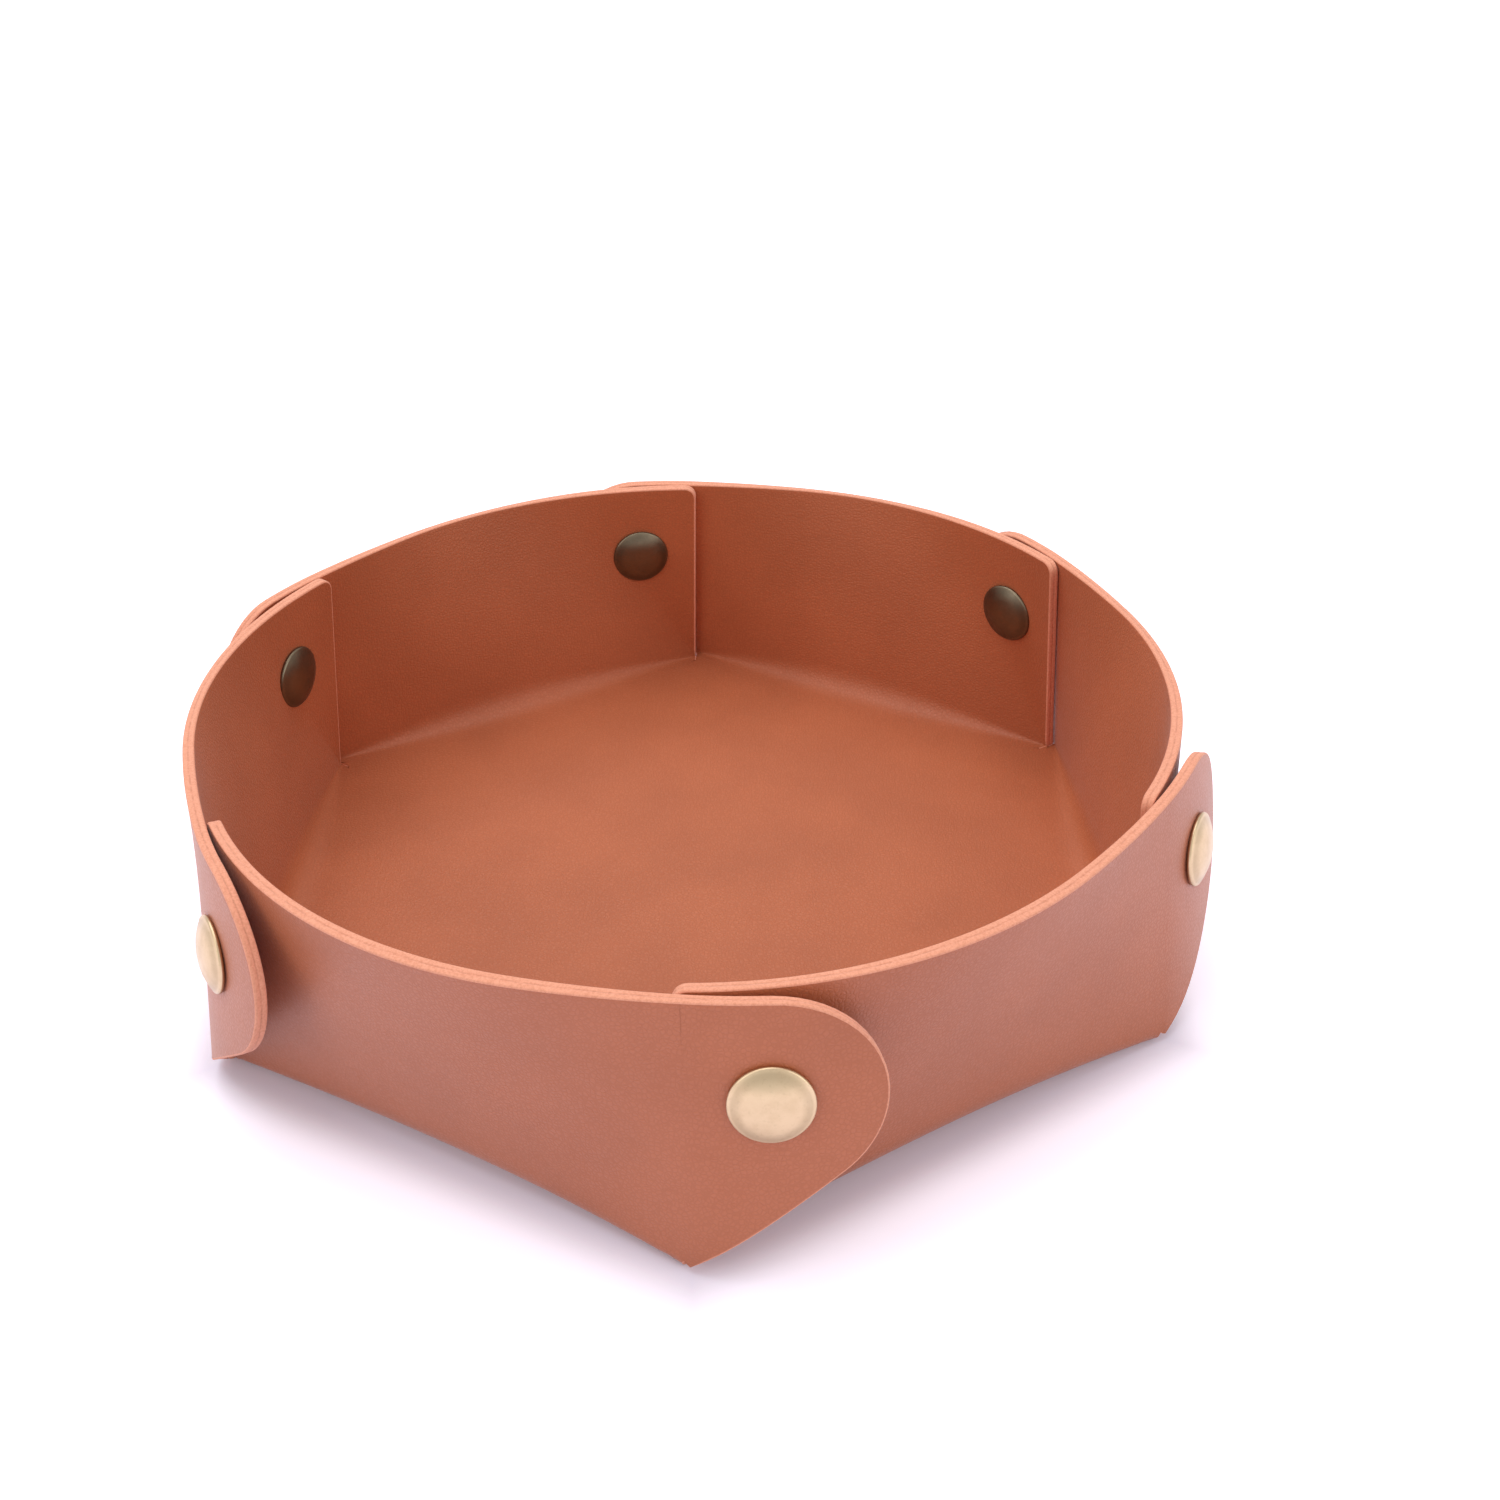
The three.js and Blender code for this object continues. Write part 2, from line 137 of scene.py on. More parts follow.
@dataclass(frozen=True)
class TraySizes:
    """Sizes of the folded sheet and of its snaps, in millimetres and radians.

    Attributes:
        leather: Thickness of the two plies together.
        corner_radius: Distance of a base corner from the axis.
        rim_height: Height of the rim.
        rim_inset: How far the rim leans in over a base corner.
        tab_foot_lap: How far outside a base corner the foot of a tab stands.
        tab_rim_lap: How far outside its nominal place the rim of a tab is.
        end_foot_lap: The same for the foot of an inner end.
        end_rim_lap: The same for the rim of an inner end.
        tab_swing: How far past the azimuth of its corner a tab's plane faces.
        late_length: Length of the flatter arc of a rim, next to the tab.
        late_round: Radius of that arc.
        foot_pace: Pace along the base edge where the tab begins, as a share of an even pace.
        fan_length: Length of rim that stands on the first base corner.
        lead_length: Length of rim next to the tab that has closer columns.
        end_lead: How far an inner end goes on past its corner.
        end_round: Rounding of an inner end's upper corner.
        edge_row: Distance of the last row of leather from a rim.
        fold_bend: Reach of the soft fold in the middle of a side.
        fold_clear: How far above the floor the blend of a fold starts.
        fold_blend: Height where it is over.
        corner_bend: Reach of the soft fold at a corner.
        slit_rise: Distance of the standing leather from the foot of its corner.
        slit_width: Length of a slit along the base edge.
        slit_ramp: Length in which the fold gets its full height beside a slit.
        floor_strip: Width of the strip of floor that belongs to a side.
        cut_round: Rounding of a cut edge.
        cut_reach: How far in from a cut edge the leather gives room to its rounding.
        tip_reach: Distance from the tip of a fan at which the rounding is whole.
        glue_groove: Depth of the groove between the plies.
        groove_half: Distance from the glue line to where the groove starts.
        groove_slope: Distance from the glue line to its steeper part.
        groove_slope_depth: Depth of the groove there.
        snap_past_corner: Distance of a snap past its corner.
        snap_below_rim: Distance of a snap below the rim, and radius of the tab round it.
        tab_still: Distance past the corner where the blend of a tab starts.
        tab_bend: Distance past the corner where it is over.
        flare_reach: Distance in which a tab leaves the direction of its side.
        tab_round: Radius of the curve of a tab.
    """

    leather: float = 2.0
    corner_radius: float = 91.0
    rim_height: float = 47.5
    rim_inset: float = 5.0
    tab_foot_lap: float = 1.3
    tab_rim_lap: float = 1.1
    end_foot_lap: float = -1.2
    end_rim_lap: float = -1.25
    tab_swing: float = math.radians(-7.0)
    late_length: float = 24.0
    late_round: float = 180.0
    foot_pace: float = 0.6
    fan_length: float = 22.5
    lead_length: float = 3.0
    end_lead: float = 1.5
    end_round: float = 2.5
    edge_row: float = 1.0
    fold_bend: float = 6.5
    fold_clear: float = 0.05
    fold_blend: float = 4.8
    corner_bend: float = 1.0
    slit_rise: float = 0.3
    slit_width: float = 0.5
    slit_ramp: float = 1.5
    floor_strip: float = 1.5
    cut_round: float = 0.32
    cut_reach: float = 1.0
    tip_reach: float = 3.0
    glue_groove: float = 0.05
    groove_half: float = 0.28
    groove_slope: float = 0.1
    groove_slope_depth: float = 0.02
    snap_past_corner: float = 11.5
    snap_below_rim: float = 16.0
    tab_still: float = 0.8
    tab_bend: float = 6.5
    flare_reach: float = 5.5
    tab_round: float = 90.0

    @property
    def floor_mid(self) -> float:
        """Height of the middle of the floor's leather."""
        return self.leather / 2

    @property
    def edge_length(self) -> float:
        """Length of a base edge."""
        return 2 * self.corner_radius * math.sin(HALF)

    @property
    def apothem(self) -> float:
        """Distance of a base edge from the axis."""
        return self.corner_radius * math.cos(HALF)

    @property
    def rim_radius(self) -> float:
        """Distance of the rim from the axis, over a base corner."""
        return self.corner_radius - self.rim_inset


SIZES = TraySizes()


@dataclass(frozen=True)
class CornerLine:
    """The line on which one layer stands at a corner, from its foot up to the rim.

    Attributes:
        azimuth: Azimuth of the base corner in the frame of a side.
        foot_lap: How far outside the base corner the layer stands.
        rim_lap: How far outside its nominal place the rim is.
    """

    azimuth: float
    foot_lap: float
    rim_lap: float

    @property
    def origin(self) -> np.ndarray:
        """Foot of the layer, in the middle of the leather."""
        return polar(self.azimuth, SIZES.corner_radius + self.foot_lap, SIZES.floor_mid)

    @property
    def rim(self) -> np.ndarray:
        """Point of the rim above the foot."""
        return polar(self.azimuth, SIZES.rim_radius + self.rim_lap, SIZES.rim_height)


@dataclass(frozen=True)
class CornerPlane(CornerLine):
    """The plane that a layer would lie in if it went straight on at a corner.

    Attributes:
        swing: How far past the azimuth of the corner the plane faces.
    """

    swing: float

    @property
    def along(self) -> np.ndarray:
        """Direction along the rim, past the corner."""
        return polar(self.azimuth + self.swing + math.pi / 2, 1.0, 0.0)

    @property
    def climb(self) -> np.ndarray:
        """Vector from the foot line up to the rim."""
        rise = self.rim - self.origin
        return rise - self.along * (rise @ self.along)

    @property
    def length(self) -> float:
        """Length of the leather from the foot line to the rim."""
        return float(np.linalg.norm(self.climb))

    @property
    def out(self) -> np.ndarray:
        """Direction out of the tray."""
        return np.cross(self.along, unit(self.climb))

    def point(self, out: float, along: float, rise: float) -> np.ndarray:
        """Point given by its distances in this plane's own directions."""
        return self.origin + self.out * out + self.along * along + unit(self.climb) * rise

    def measured(self, point: np.ndarray) -> tuple[float, float]:
        """Distances of a point along the rim and up the layer."""
        offset = point - self.origin
        return float(offset @ self.along), float(offset @ unit(self.climb))


TAB_PLANE = CornerPlane(HALF, SIZES.tab_foot_lap, SIZES.tab_rim_lap, SIZES.tab_swing)
END_LINE = CornerLine(-HALF, SIZES.end_foot_lap, SIZES.end_rim_lap)


class SideRim:
    """The rim of a side: a round arc from its inner end, then a flatter one up to the tab."""

    def __init__(self) -> None:
        """Fit the first arc between the inner end and the flatter arc."""
        last = HALF + SIZES.tab_swing
        self.joint_facing = last - SIZES.late_length / SIZES.late_round
        self.late_centre = TAB_PLANE.rim - polar(last, SIZES.late_round, 0.0)
        chord = self.late_centre + polar(self.joint_facing, SIZES.late_round, 0.0) - END_LINE.rim
        level = math.atan2(chord[1], chord[0]) - math.pi / 2
        self.first = 2 * level - self.joint_facing
        self.radius = float(np.linalg.norm(chord)) / (2 * math.sin(self.joint_facing - level))
        self.centre = END_LINE.rim - polar(self.first, self.radius, 0.0)
        self.joint = self.radius * (self.joint_facing - self.first)
        self.length = self.joint + SIZES.late_length

    def facing(self, length: float) -> float:
        """Azimuth that the side faces.

        Args:
            length: Length along the rim.

        Returns:
            The azimuth in radians.
        """
        if length <= self.joint:
            return self.first + length / self.radius
        return self.joint_facing + (length - self.joint) / SIZES.late_round

    def tangent(self, length: float) -> np.ndarray:
        """Direction along the rim at a length."""
        return polar(self.facing(length) + math.pi / 2, 1.0, 0.0)

    def point(self, length: float) -> np.ndarray:
        """Point of the rim.

        Args:
            length: Length along it from the corner where the side starts.

        Returns:
            The point, in the middle of the leather.
        """
        if length <= self.joint:
            return self.centre + polar(self.facing(length), self.radius, 0.0)
        return self.late_centre + polar(self.facing(length), SIZES.late_round, 0.0)


RIM = SideRim()


def foot_share(length: float) -> float:
    """Share of the base edge that a length along the rim stands on.

    Args:
        length: Length along the rim.

    Returns:
        0 all along the fan, then rising to 1, still at some pace where the tab begins.
    """
    share = min(max((length - SIZES.fan_length) / (RIM.length - SIZES.fan_length), 0.0), 1.0)
    return share**2 * (3 - 2 * share) + SIZES.foot_pace * (share**3 - share**2)


def foot_point(share: float) -> np.ndarray:
    """Point of the base edge that a side stands on."""
    return lerp(END_LINE.origin, TAB_PLANE.origin, share)


def tab_point(along: float, rise: float) -> np.ndarray:
    """Point of a tab, which goes on smoothly from its side and then bends round.

    Args:
        along: Distance past the corner.
        rise: Distance up the tab.

    Returns:
        The point, in the middle of the leather, with its bend reckoned from the seam.
    """
    high = min(max(rise / TAB_PLANE.length, 0.0), 1.0)
    pace = SIZES.foot_pace / (RIM.length - SIZES.fan_length)
    heading = lerp((TAB_PLANE.origin - END_LINE.origin) * pace, TAB_PLANE.along, high)
    slope = (heading @ TAB_PLANE.out) / (heading @ TAB_PLANE.along)
    past = max(along - TAB_PLANE.measured(TAB_PLANE.rim)[0] * high, 0.0)
    flare = slope * SIZES.flare_reach * (1 - math.exp(-past / SIZES.flare_reach))
    return TAB_PLANE.point(flare - past**2 / (2 * SIZES.tab_round), along, rise)


def tab_facing(along: float, rise: float, step: float = 0.1) -> np.ndarray:
    """Direction out of the tray at a point of a tab.

    Args:
        along: Distance past the corner.
        rise: Distance up the tab.
        step: How far apart the points are that it is taken from.

    Returns:
        A unit vector square to the leather.
    """
    here = tab_point(along, rise)
    across = tab_point(along + step, rise) - here
    up = tab_point(along, rise + step) - here
    return unit(np.cross(across, up))


@dataclass(frozen=True)
class SnapSeat:
    """Where a snap's axis goes through one layer.

    Attributes:
        place: The middle of the leather there.
        out: Direction out of the tray.
        up: Direction up the layer.
    """

    place: np.ndarray
    out: np.ndarray
    up: np.ndarray

    def matrix(self, height: float) -> Matrix:
        """Place of a turned snap piece, its axis out of the tray.

        Args:
            height: Distance of the piece's zero from the middle of the leather.

        Returns:
            A matrix in the frame of a side.
        """
        columns = [np.cross(self.up, self.out), self.up, self.out, self.place + self.out * height]
        rows = [list(row) for row in np.stack(columns, axis=1)]
        return Matrix([*rows, [0.0, 0.0, 0.0, 1.0]])

    @classmethod
    def on_tab(cls) -> "SnapSeat":
        """The seat on a tab, in the frame of its side.

        Returns:
            The seat, square to the leather there.
        """
        past = SIZES.snap_past_corner
        rise = TAB_PLANE.length - SIZES.snap_below_rim
        step = 0.5
        across = tab_point(past + step, rise) - tab_point(past - step, rise)
        up = unit(tab_point(past, rise + step) - tab_point(past, rise - step))
        out = unit(np.cross(across, up))
        return cls(tab_point(past, rise), out, np.cross(out, unit(across)))

    @classmethod
    def on_end(cls) -> "SnapSeat":
        """The seat on the inner end under a tab, in the frame of that end's side.

        Returns:
            The seat where the tab's snap axis meets the fan of the inner end.
        """
        tab = cls.on_tab()
        back = turn_about_up(-2 * HALF)
        place, out = back @ tab.place, back @ tab.out
        foot = END_LINE.origin

        def miss(length: float) -> float:
            """Distance of a line of the fan from the axis."""
            line = unit(RIM.point(length) - foot)
            return abs(float((place - foot) @ unit(np.cross(line, out))))

        length = min(np.linspace(0.0, SIZES.fan_length, FAN_TRIES), key=miss)
        line = unit(RIM.point(length) - foot)
        normal = unit(np.cross(RIM.tangent(length), line))
        reach = ((place - foot) @ line - (out @ line) * (out @ (place - foot))) / (1 - (out @ line) ** 2)
        return cls(foot + line * reach, normal, line)


class MeshBook:
    """Vertices and faces of one piece, gathered in millimetres."""

    def __init__(self) -> None:
        """Start empty."""
        self.points: list[np.ndarray] = []
        self.across: list[float] = []
        self.faces: list[tuple[int, ...]] = []
        self.kinds: list[int] = []

    def point(self, place: np.ndarray, across: float = 0.0) -> int:
        """Add a vertex.

        Args:
            place: Where it is.
            across: Its share through the leather, from -1 inside to 1 outside, or its share of the
                radius of a turned piece.

        Returns:
            Its number.
        """
        self.points.append(place)
        self.across.append(across)
        return len(self.points) - 1

    def face(self, *corners: int, kind: int = 0) -> None:
        """Add a face that takes the material of a number."""
        self.faces.append(corners)
        self.kinds.append(kind)

    def piece(self, name: str, materials: list[bpy.types.Material], turn: Any = None) -> bpy.types.Object:
        """Make the object.

        Args:
            name: The piece's name.
            materials: Its materials, in the order of the face kinds.
            turn: A 3 by 3 rotation of the points, or nothing.

        Returns:
            The new object, linked to the scene.
        """
        places = np.array(self.points) if turn is None else np.array(self.points) @ turn.T
        mesh = bpy.data.meshes.new(name)
        mesh.from_pydata((places * MM).tolist(), [], self.faces)
        for material in materials:
            mesh.materials.append(material)
        mesh.polygons.foreach_set("material_index", self.kinds)
        mesh.polygons.foreach_set("use_smooth", [True] * len(self.faces))
        attribute = mesh.attributes.new("across", "FLOAT", "POINT")
        attribute.data.foreach_set("value", self.across)
        mesh.set_sharp_from_angle(angle=SHARP)
        mesh.validate()
        made = bpy.data.objects.new(name, mesh)
        bpy.context.scene.collection.objects.link(made)
        return made


@dataclass
class LeatherSheet:
    """A sheet of two-ply leather about a grid of points.

    Attributes:
        grid: Points of the middle surface, by column and row.
        cells: Which cells of the grid are leather.
        joined: Borders that go on into another sheet, as pairs of grid places.
        tips: Points where the columns of a fan come together.
        normals: Directions out of the tray, by column and row.
    """

    grid: np.ndarray
    cells: np.ndarray
    joined: set[Edge]
    tips: list[np.ndarray]
    normals: np.ndarray = field(init=False)

    def __post_init__(self) -> None:
        """Work out the normals of the cells that are leather."""
        normals = np.zeros_like(self.grid)
        for i, j in np.argwhere(self.cells):
            first = self.grid[i + 1, j + 1] - self.grid[i, j]
            second = self.grid[i, j + 1] - self.grid[i + 1, j]
            area = np.cross(first, second)
            for corner in self.corners(i, j):
                normals[corner] += area
        lengths = np.linalg.norm(normals, axis=2, keepdims=True)
        self.normals = normals / np.maximum(lengths, NO_LENGTH)

    @staticmethod
    def corners(i: int, j: int) -> list[Place]:
        """Corners of a cell, counter-clockwise from outside."""
        return [(i, j), (i + 1, j), (i + 1, j + 1), (i, j + 1)]

    def is_leather(self, i: int, j: int) -> bool:
        """Whether a cell is there."""
        columns, rows = self.cells.shape
        return 0 <= i < columns and 0 <= j < rows and bool(self.cells[i, j])

    def cut_edges(self) -> list[Edge]:
        """Border edges that are cut through, with the leather on their left.

        Returns:
            Pairs of grid places.
        """
        found = []
        for i, j in np.argwhere(self.cells):
            corners = self.corners(i, j)
            beyond = [(i, j - 1), (i + 1, j), (i, j + 1), (i - 1, j)]
            for number, cell in enumerate(beyond):
                edge = (corners[number], corners[(number + 1) % len(corners)])
                if not self.is_leather(*cell) and edge not in self.joined:
                    found.append(edge)
        return found

    def outward(self, cuts: list[Edge]) -> dict[Place, np.ndarray]:
        """Direction out of the sheet at each point of its cut borders.

        Args:
            cuts: The cut border edges.

        Returns:
            A unit vector for each grid place, square to a long edge and along the grid at a short one.
        """
        sums: dict[Place, np.ndarray] = {}
        for start, end in cuts:
            tangent = self.grid[end] - self.grid[start]
            left = (start[1] - end[1], end[0] - start[0])
            for place in (start, end):
                away = self.grid[place] - self.grid[place[0] + left[0], place[1] + left[1]]
                if np.linalg.norm(tangent) > SIZES.cut_round:
                    away = np.cross(tangent, self.normals[place])
                sums[place] = sums.get(place, np.zeros(3)) + unit(away)
        return {place: unit(total) for place, total in sums.items()}

    def rounding(self, place: Place) -> float:
        """Rounding of a cut border, which fades out at the tip of a fan."""
        from_tip = min(float(np.linalg.norm(self.grid[place] - tip)) for tip in self.tips)
        return SIZES.cut_round * min(from_tip / SIZES.tip_reach, 1.0)

    def drawn_in(self, away: dict[Place, np.ndarray]) -> np.ndarray:
        """The grid, drawn in beside its cut borders to leave room for their rounding.

        Args:
            away: Direction out of the sheet at each point of its cut borders.

        Returns:
            The moved points, by column and row.
        """
        borders = np.array([self.grid[place] for place in away])
        ways = list(away.values())
        rounds = [self.rounding(place) for place in away]
        drawn = self.grid.copy()
        for place in np.ndindex(self.grid.shape[:2]):
            offsets = borders - self.grid[place]
            nearest = int(np.argmin(np.linalg.norm(offsets, axis=1)))
            depth = abs(float(offsets[nearest] @ ways[nearest]))
            drawn[place] -= ways[nearest] * rounds[nearest] * max(1 - depth / SIZES.cut_reach, 0.0)
        return drawn

    @staticmethod
    def cut_profile(radius: float) -> list[tuple[float, float]]:
        """Section of a cut edge from the outer to the inner face.

        Args:
            radius: Rounding of its two corners.

        Returns:
            Pairs of height from the middle surface and distance out of the border.
        """
        half = SIZES.leather / 2
        upper = []
        for step in range(ROUND_STEPS + 1):
            angle = step / ROUND_STEPS * math.pi / 2
            upper.append((half - radius + radius * math.cos(angle), radius * math.sin(angle) - radius))
        upper += [(SIZES.groove_half, 0.0), (SIZES.groove_slope, -SIZES.groove_slope_depth)]
        lower = [(-height, out) for height, out in reversed(upper)]
        return [*upper, (0.0, -SIZES.glue_groove), *lower]

    def write(self, book: MeshBook) -> None:
        """Add both faces and the cut edges to a mesh.

        Args:
            book: Where they go.
        """
        half = SIZES.leather / 2
        cuts = self.cut_edges()
        away = self.outward(cuts)
        drawn = self.drawn_in(away)
        outer: dict[Place, int] = {}
        inner: dict[Place, int] = {}
        for i, j in np.argwhere(self.cells):
            for place in self.corners(i, j):
                if place in outer:
                    continue
                outer[place] = book.point(drawn[place] + self.normals[place] * half, 1.0)
                inner[place] = book.point(drawn[place] - self.normals[place] * half, -1.0)
            book.face(*[outer[place] for place in self.corners(i, j)])
            book.face(*[inner[place] for place in reversed(self.corners(i, j))])
        strips: dict[Place, list[int]] = {}
        for place, direction in away.items():
            strip = [outer[place]]
            for height, out in self.cut_profile(self.rounding(place))[1:-1]:
                spot = self.grid[place] + self.normals[place] * height + direction * out
                strip.append(book.point(spot, height / half))
            strips[place] = [*strip, inner[place]]
        for start, end in cuts:
            first, last = strips[start], strips[end]
            for step in range(len(first) - 1):
                book.face(last[step], first[step], first[step + 1], last[step + 1], kind=1)


@dataclass
class SidePanel:
    """One side: a strip of the floor, the soft fold and the standing leather up to the rim.

    Attributes:
        number: Which side, counted from 1.
        round_columns: Columns in the rounded upper corner of the inner end.
        fan_columns: Columns of the fan at the first corner.
        arc_columns: Columns from the fan nearly to the next corner.
        lead_columns: Columns close to the next corner.
        strip_rows: Rows in the strip of floor.
        bend_rows: Rows round the fold.
        wall_rows: Rows from the fold to the rim.
        foot_rows: Lowest of these, which face as the next row above them does.
    """

    number: int
    round_columns: int = 8
    fan_columns: int = 14
    arc_columns: int = 56
    lead_columns: int = 6
    strip_rows: int = 2
    bend_rows: int = 9
    wall_rows: int = 8
    foot_rows: int = 4

    @property
    def name(self) -> str:
        """Name of the piece."""
        return f"wall_leather_{self.number}"

    def lengths(self) -> list[float]:
        """Lengths along the rim at which there is a column.

        Returns:
            Rising lengths from the inner end to the next corner.
        """
        quarter = math.pi / 2
        steps = range(self.round_columns)
        rounds = [SIZES.end_round * (1 - math.cos(step / self.round_columns * quarter)) for step in steps]
        found = [length - SIZES.end_lead for length in rounds]
        fan_start = SIZES.end_round - SIZES.end_lead
        for step in range(self.fan_columns):
            found.append(lerp(fan_start, SIZES.fan_length, step / self.fan_columns))
        lead_start = RIM.length - SIZES.lead_length
        for step in range(self.arc_columns):
            found.append(lerp(SIZES.fan_length, lead_start, step / self.arc_columns))
        for step in range(self.lead_columns + 1):
            found.append(lerp(lead_start, RIM.length, step / self.lead_columns))
        return found

    @staticmethod
    def bend_leg(share: float) -> float:
        """Reach of the soft fold at a share of the base edge."""
        return SIZES.corner_bend + (SIZES.fold_bend - SIZES.corner_bend) * 4 * share * (1 - share)

    @staticmethod
    def from_corner(share: float) -> float:
        """Distance along the base edge to its nearer corner."""
        return min(share, 1 - share) * SIZES.edge_length

    def fold_start(self, share: float) -> np.ndarray:
        """Point of the floor where the fold starts."""
        return foot_point(share) - np.array([self.bend_leg(share), 0.0, 0.0])

    def floor_border(self, share: float) -> np.ndarray:
        """Point where this piece goes on into the floor panel.

        Args:
            share: Share of the base edge.

        Returns:
            The point, in the middle of the leather.
        """
        start = self.fold_start(share)
        shrink = 1 - SIZES.floor_strip * math.tan(HALF) / (SIZES.edge_length / 2)
        return np.array([start[0] - SIZES.floor_strip, start[1] * shrink, start[2]])

    def column(self, length: float) -> np.ndarray:
        """One column of the middle surface.

        Args:
            length: Length along the rim.

        Returns:
            Its points from the floor to the rim.
        """
        share = foot_share(length)
        foot = foot_point(share)
        rim = RIM.point(length)
        from_round = max(SIZES.end_round - SIZES.end_lead - length, 0.0)
        drop = SIZES.end_round - math.sqrt(SIZES.end_round**2 - from_round**2)
        rim = lerp(rim, foot, drop / (SIZES.rim_height - SIZES.floor_mid))
        rise = unit(rim - foot)
        leg = self.bend_leg(share)
        opened = smooth(self.from_corner(share), 0.0, SIZES.slit_ramp)
        start = self.fold_start(share)
        end = foot + rise * lerp(SIZES.slit_rise, leg, opened)
        points = []
        for row in range(self.strip_rows):
            points.append(lerp(self.floor_border(share), start, row / self.strip_rows))
        for row in range(self.bend_rows):
            step = row / self.bend_rows
            points.append(lerp(lerp(start, foot, step), lerp(foot, end, step), step))
        for row in range(self.wall_rows):
            points.append(lerp(end, rim, (row / self.wall_rows) ** 2))
        return np.array([*points, rim - rise * SIZES.edge_row, rim])

    def sheet(self) -> LeatherSheet:
        """The side as a sheet, in its own frame.

        Returns:
            The sheet with its slits, joined to the floor and to its tab.
        """
        lengths = self.lengths()
        grid = np.array([self.column(length) for length in lengths])
        cells = np.ones((len(lengths) - 1, grid.shape[1] - 1), dtype=bool)
        folded = self.strip_rows + self.bend_rows
        for i in range(len(lengths) - 1):
            near = min(self.from_corner(foot_share(length)) for length in lengths[i : i + 2])
            cells[i, :folded] = near >= SIZES.slit_width
        last = len(lengths) - 1
        joined = {((i, 0), (i + 1, 0)) for i in range(last)}
        joined |= {((last, j), (last, j + 1)) for j in range(folded, grid.shape[1] - 1)}
        sheet = LeatherSheet(grid, cells, joined, [END_LINE.origin, TAB_PLANE.origin])
        above = folded + self.foot_rows
        sheet.normals[:, folded:above] = sheet.normals[:, above : above + 1]
        return sheet

    def floor_points(self) -> list[np.ndarray]:
        """Border that this side shares with the floor panel, in the tray's frame.

        Returns:
            Points counter-clockwise from above.
        """
        shares = [foot_share(length) for length in self.lengths()]
        kept = [share for share in shares if self.from_corner(share) >= SIZES.slit_width]
        return [turned_to_side(self.number) @ self.floor_border(share) for share in kept]

    def build(self, materials: list[bpy.types.Material]) -> bpy.types.Object:
        """Make the piece and hide the imported wall that it stands for.

        Args:
            materials: Leather and cut edge.

        Returns:
            The piece.
        """
        book = MeshBook()
        self.sheet().write(book)
        made = book.piece(self.name, materials, turned_to_side(self.number))
        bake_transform(made)
        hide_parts(f"wall_{self.number}")
        return made


@dataclass
class CornerTab:
    """The rounded end of a side, which laps over the outside of the next side.

    Attributes:
        number: The side it ends, counted from 1.
        columns: Columns of its fan.
        rows: Rows from the base corner to its outline.
    """

    number: int
    columns: int = 36
    rows: int = 16

    @property
    def name(self) -> str:
        """Name of the piece."""
        return f"tab_leather_{self.number}"

    def outline(self, angle: float) -> float:
        """Distance from the base corner to the outline.

        Args:
            angle: Angle from the rise of the corner.

        Returns:
            The distance, along the straight rim or round the snap.
        """
        past, rise = TAB_PLANE.measured(SnapSeat.on_tab().place)
        if angle < math.atan2(past, TAB_PLANE.length):
            return TAB_PLANE.length / math.cos(angle)
        snap_angle = math.atan2(past, rise)
        snap_reach = math.hypot(past, rise)
        aside = snap_reach * math.sin(angle - snap_angle)
        on_round = math.sqrt(max(SIZES.snap_below_rim**2 - aside**2, 0.0))
        return snap_reach * math.cos(angle - snap_angle) + on_round

    def angles(self) -> list[float]:
        """Angles of the fan's columns, closer together at both ends.

        Returns:
            Rising angles from the seam to the lower edge.
        """
        past, rise = TAB_PLANE.measured(SnapSeat.on_tab().place)
        first = math.atan2(*TAB_PLANE.measured(TAB_PLANE.rim))
        last = math.atan2(past, rise) + math.asin(SIZES.snap_below_rim / math.hypot(past, rise))
        shares = [(1 - math.cos(step / self.columns * math.pi)) / 2 for step in range(self.columns + 1)]
        return [lerp(first, last, share) for share in shares]

    def sheet(self) -> LeatherSheet:
        """The tab as a sheet, in the frame of its side.

        Returns:
            The sheet, joined to its side along the seam.
        """
        grid = []
        facing = []
        for angle in self.angles():
            reach = self.outline(angle)
            shares = [row / (self.rows - 1) for row in range(self.rows)]
            reaches = [lerp(SIZES.slit_rise, reach - SIZES.edge_row, share) for share in shares]
            places = [(radius * math.sin(angle), radius * math.cos(angle)) for radius in [*reaches, reach]]
            grid.append([tab_point(*place) for place in places])
            facing.append([tab_facing(*place) for place in places])
        points = np.array(grid)
        cells = np.ones((points.shape[0] - 1, points.shape[1] - 1), dtype=bool)
        joined = {((0, j + 1), (0, j)) for j in range(points.shape[1] - 1)}
        sheet = LeatherSheet(points, cells, joined, [TAB_PLANE.origin])
        sheet.normals = np.array(facing)
        return sheet

    def build(self, materials: list[bpy.types.Material]) -> bpy.types.Object:
        """Make the piece and hide the imported tab that it stands for.

        Args:
            materials: Leather and cut edge.

        Returns:
            The piece.
        """
        book = MeshBook()
        self.sheet().write(book)
        turn = turned_to_side(self.number)
        made = book.piece(self.name, materials, turn)
        near = turn @ TAB_PLANE.point(0.0, SIZES.tab_still, 0.0)
        far = turn @ TAB_PLANE.point(0.0, SIZES.tab_bend, 0.0)
        tuple(near * MM)
        tuple(far * MM)
        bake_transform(made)
        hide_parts(f"tab_{self.number}")
        return made


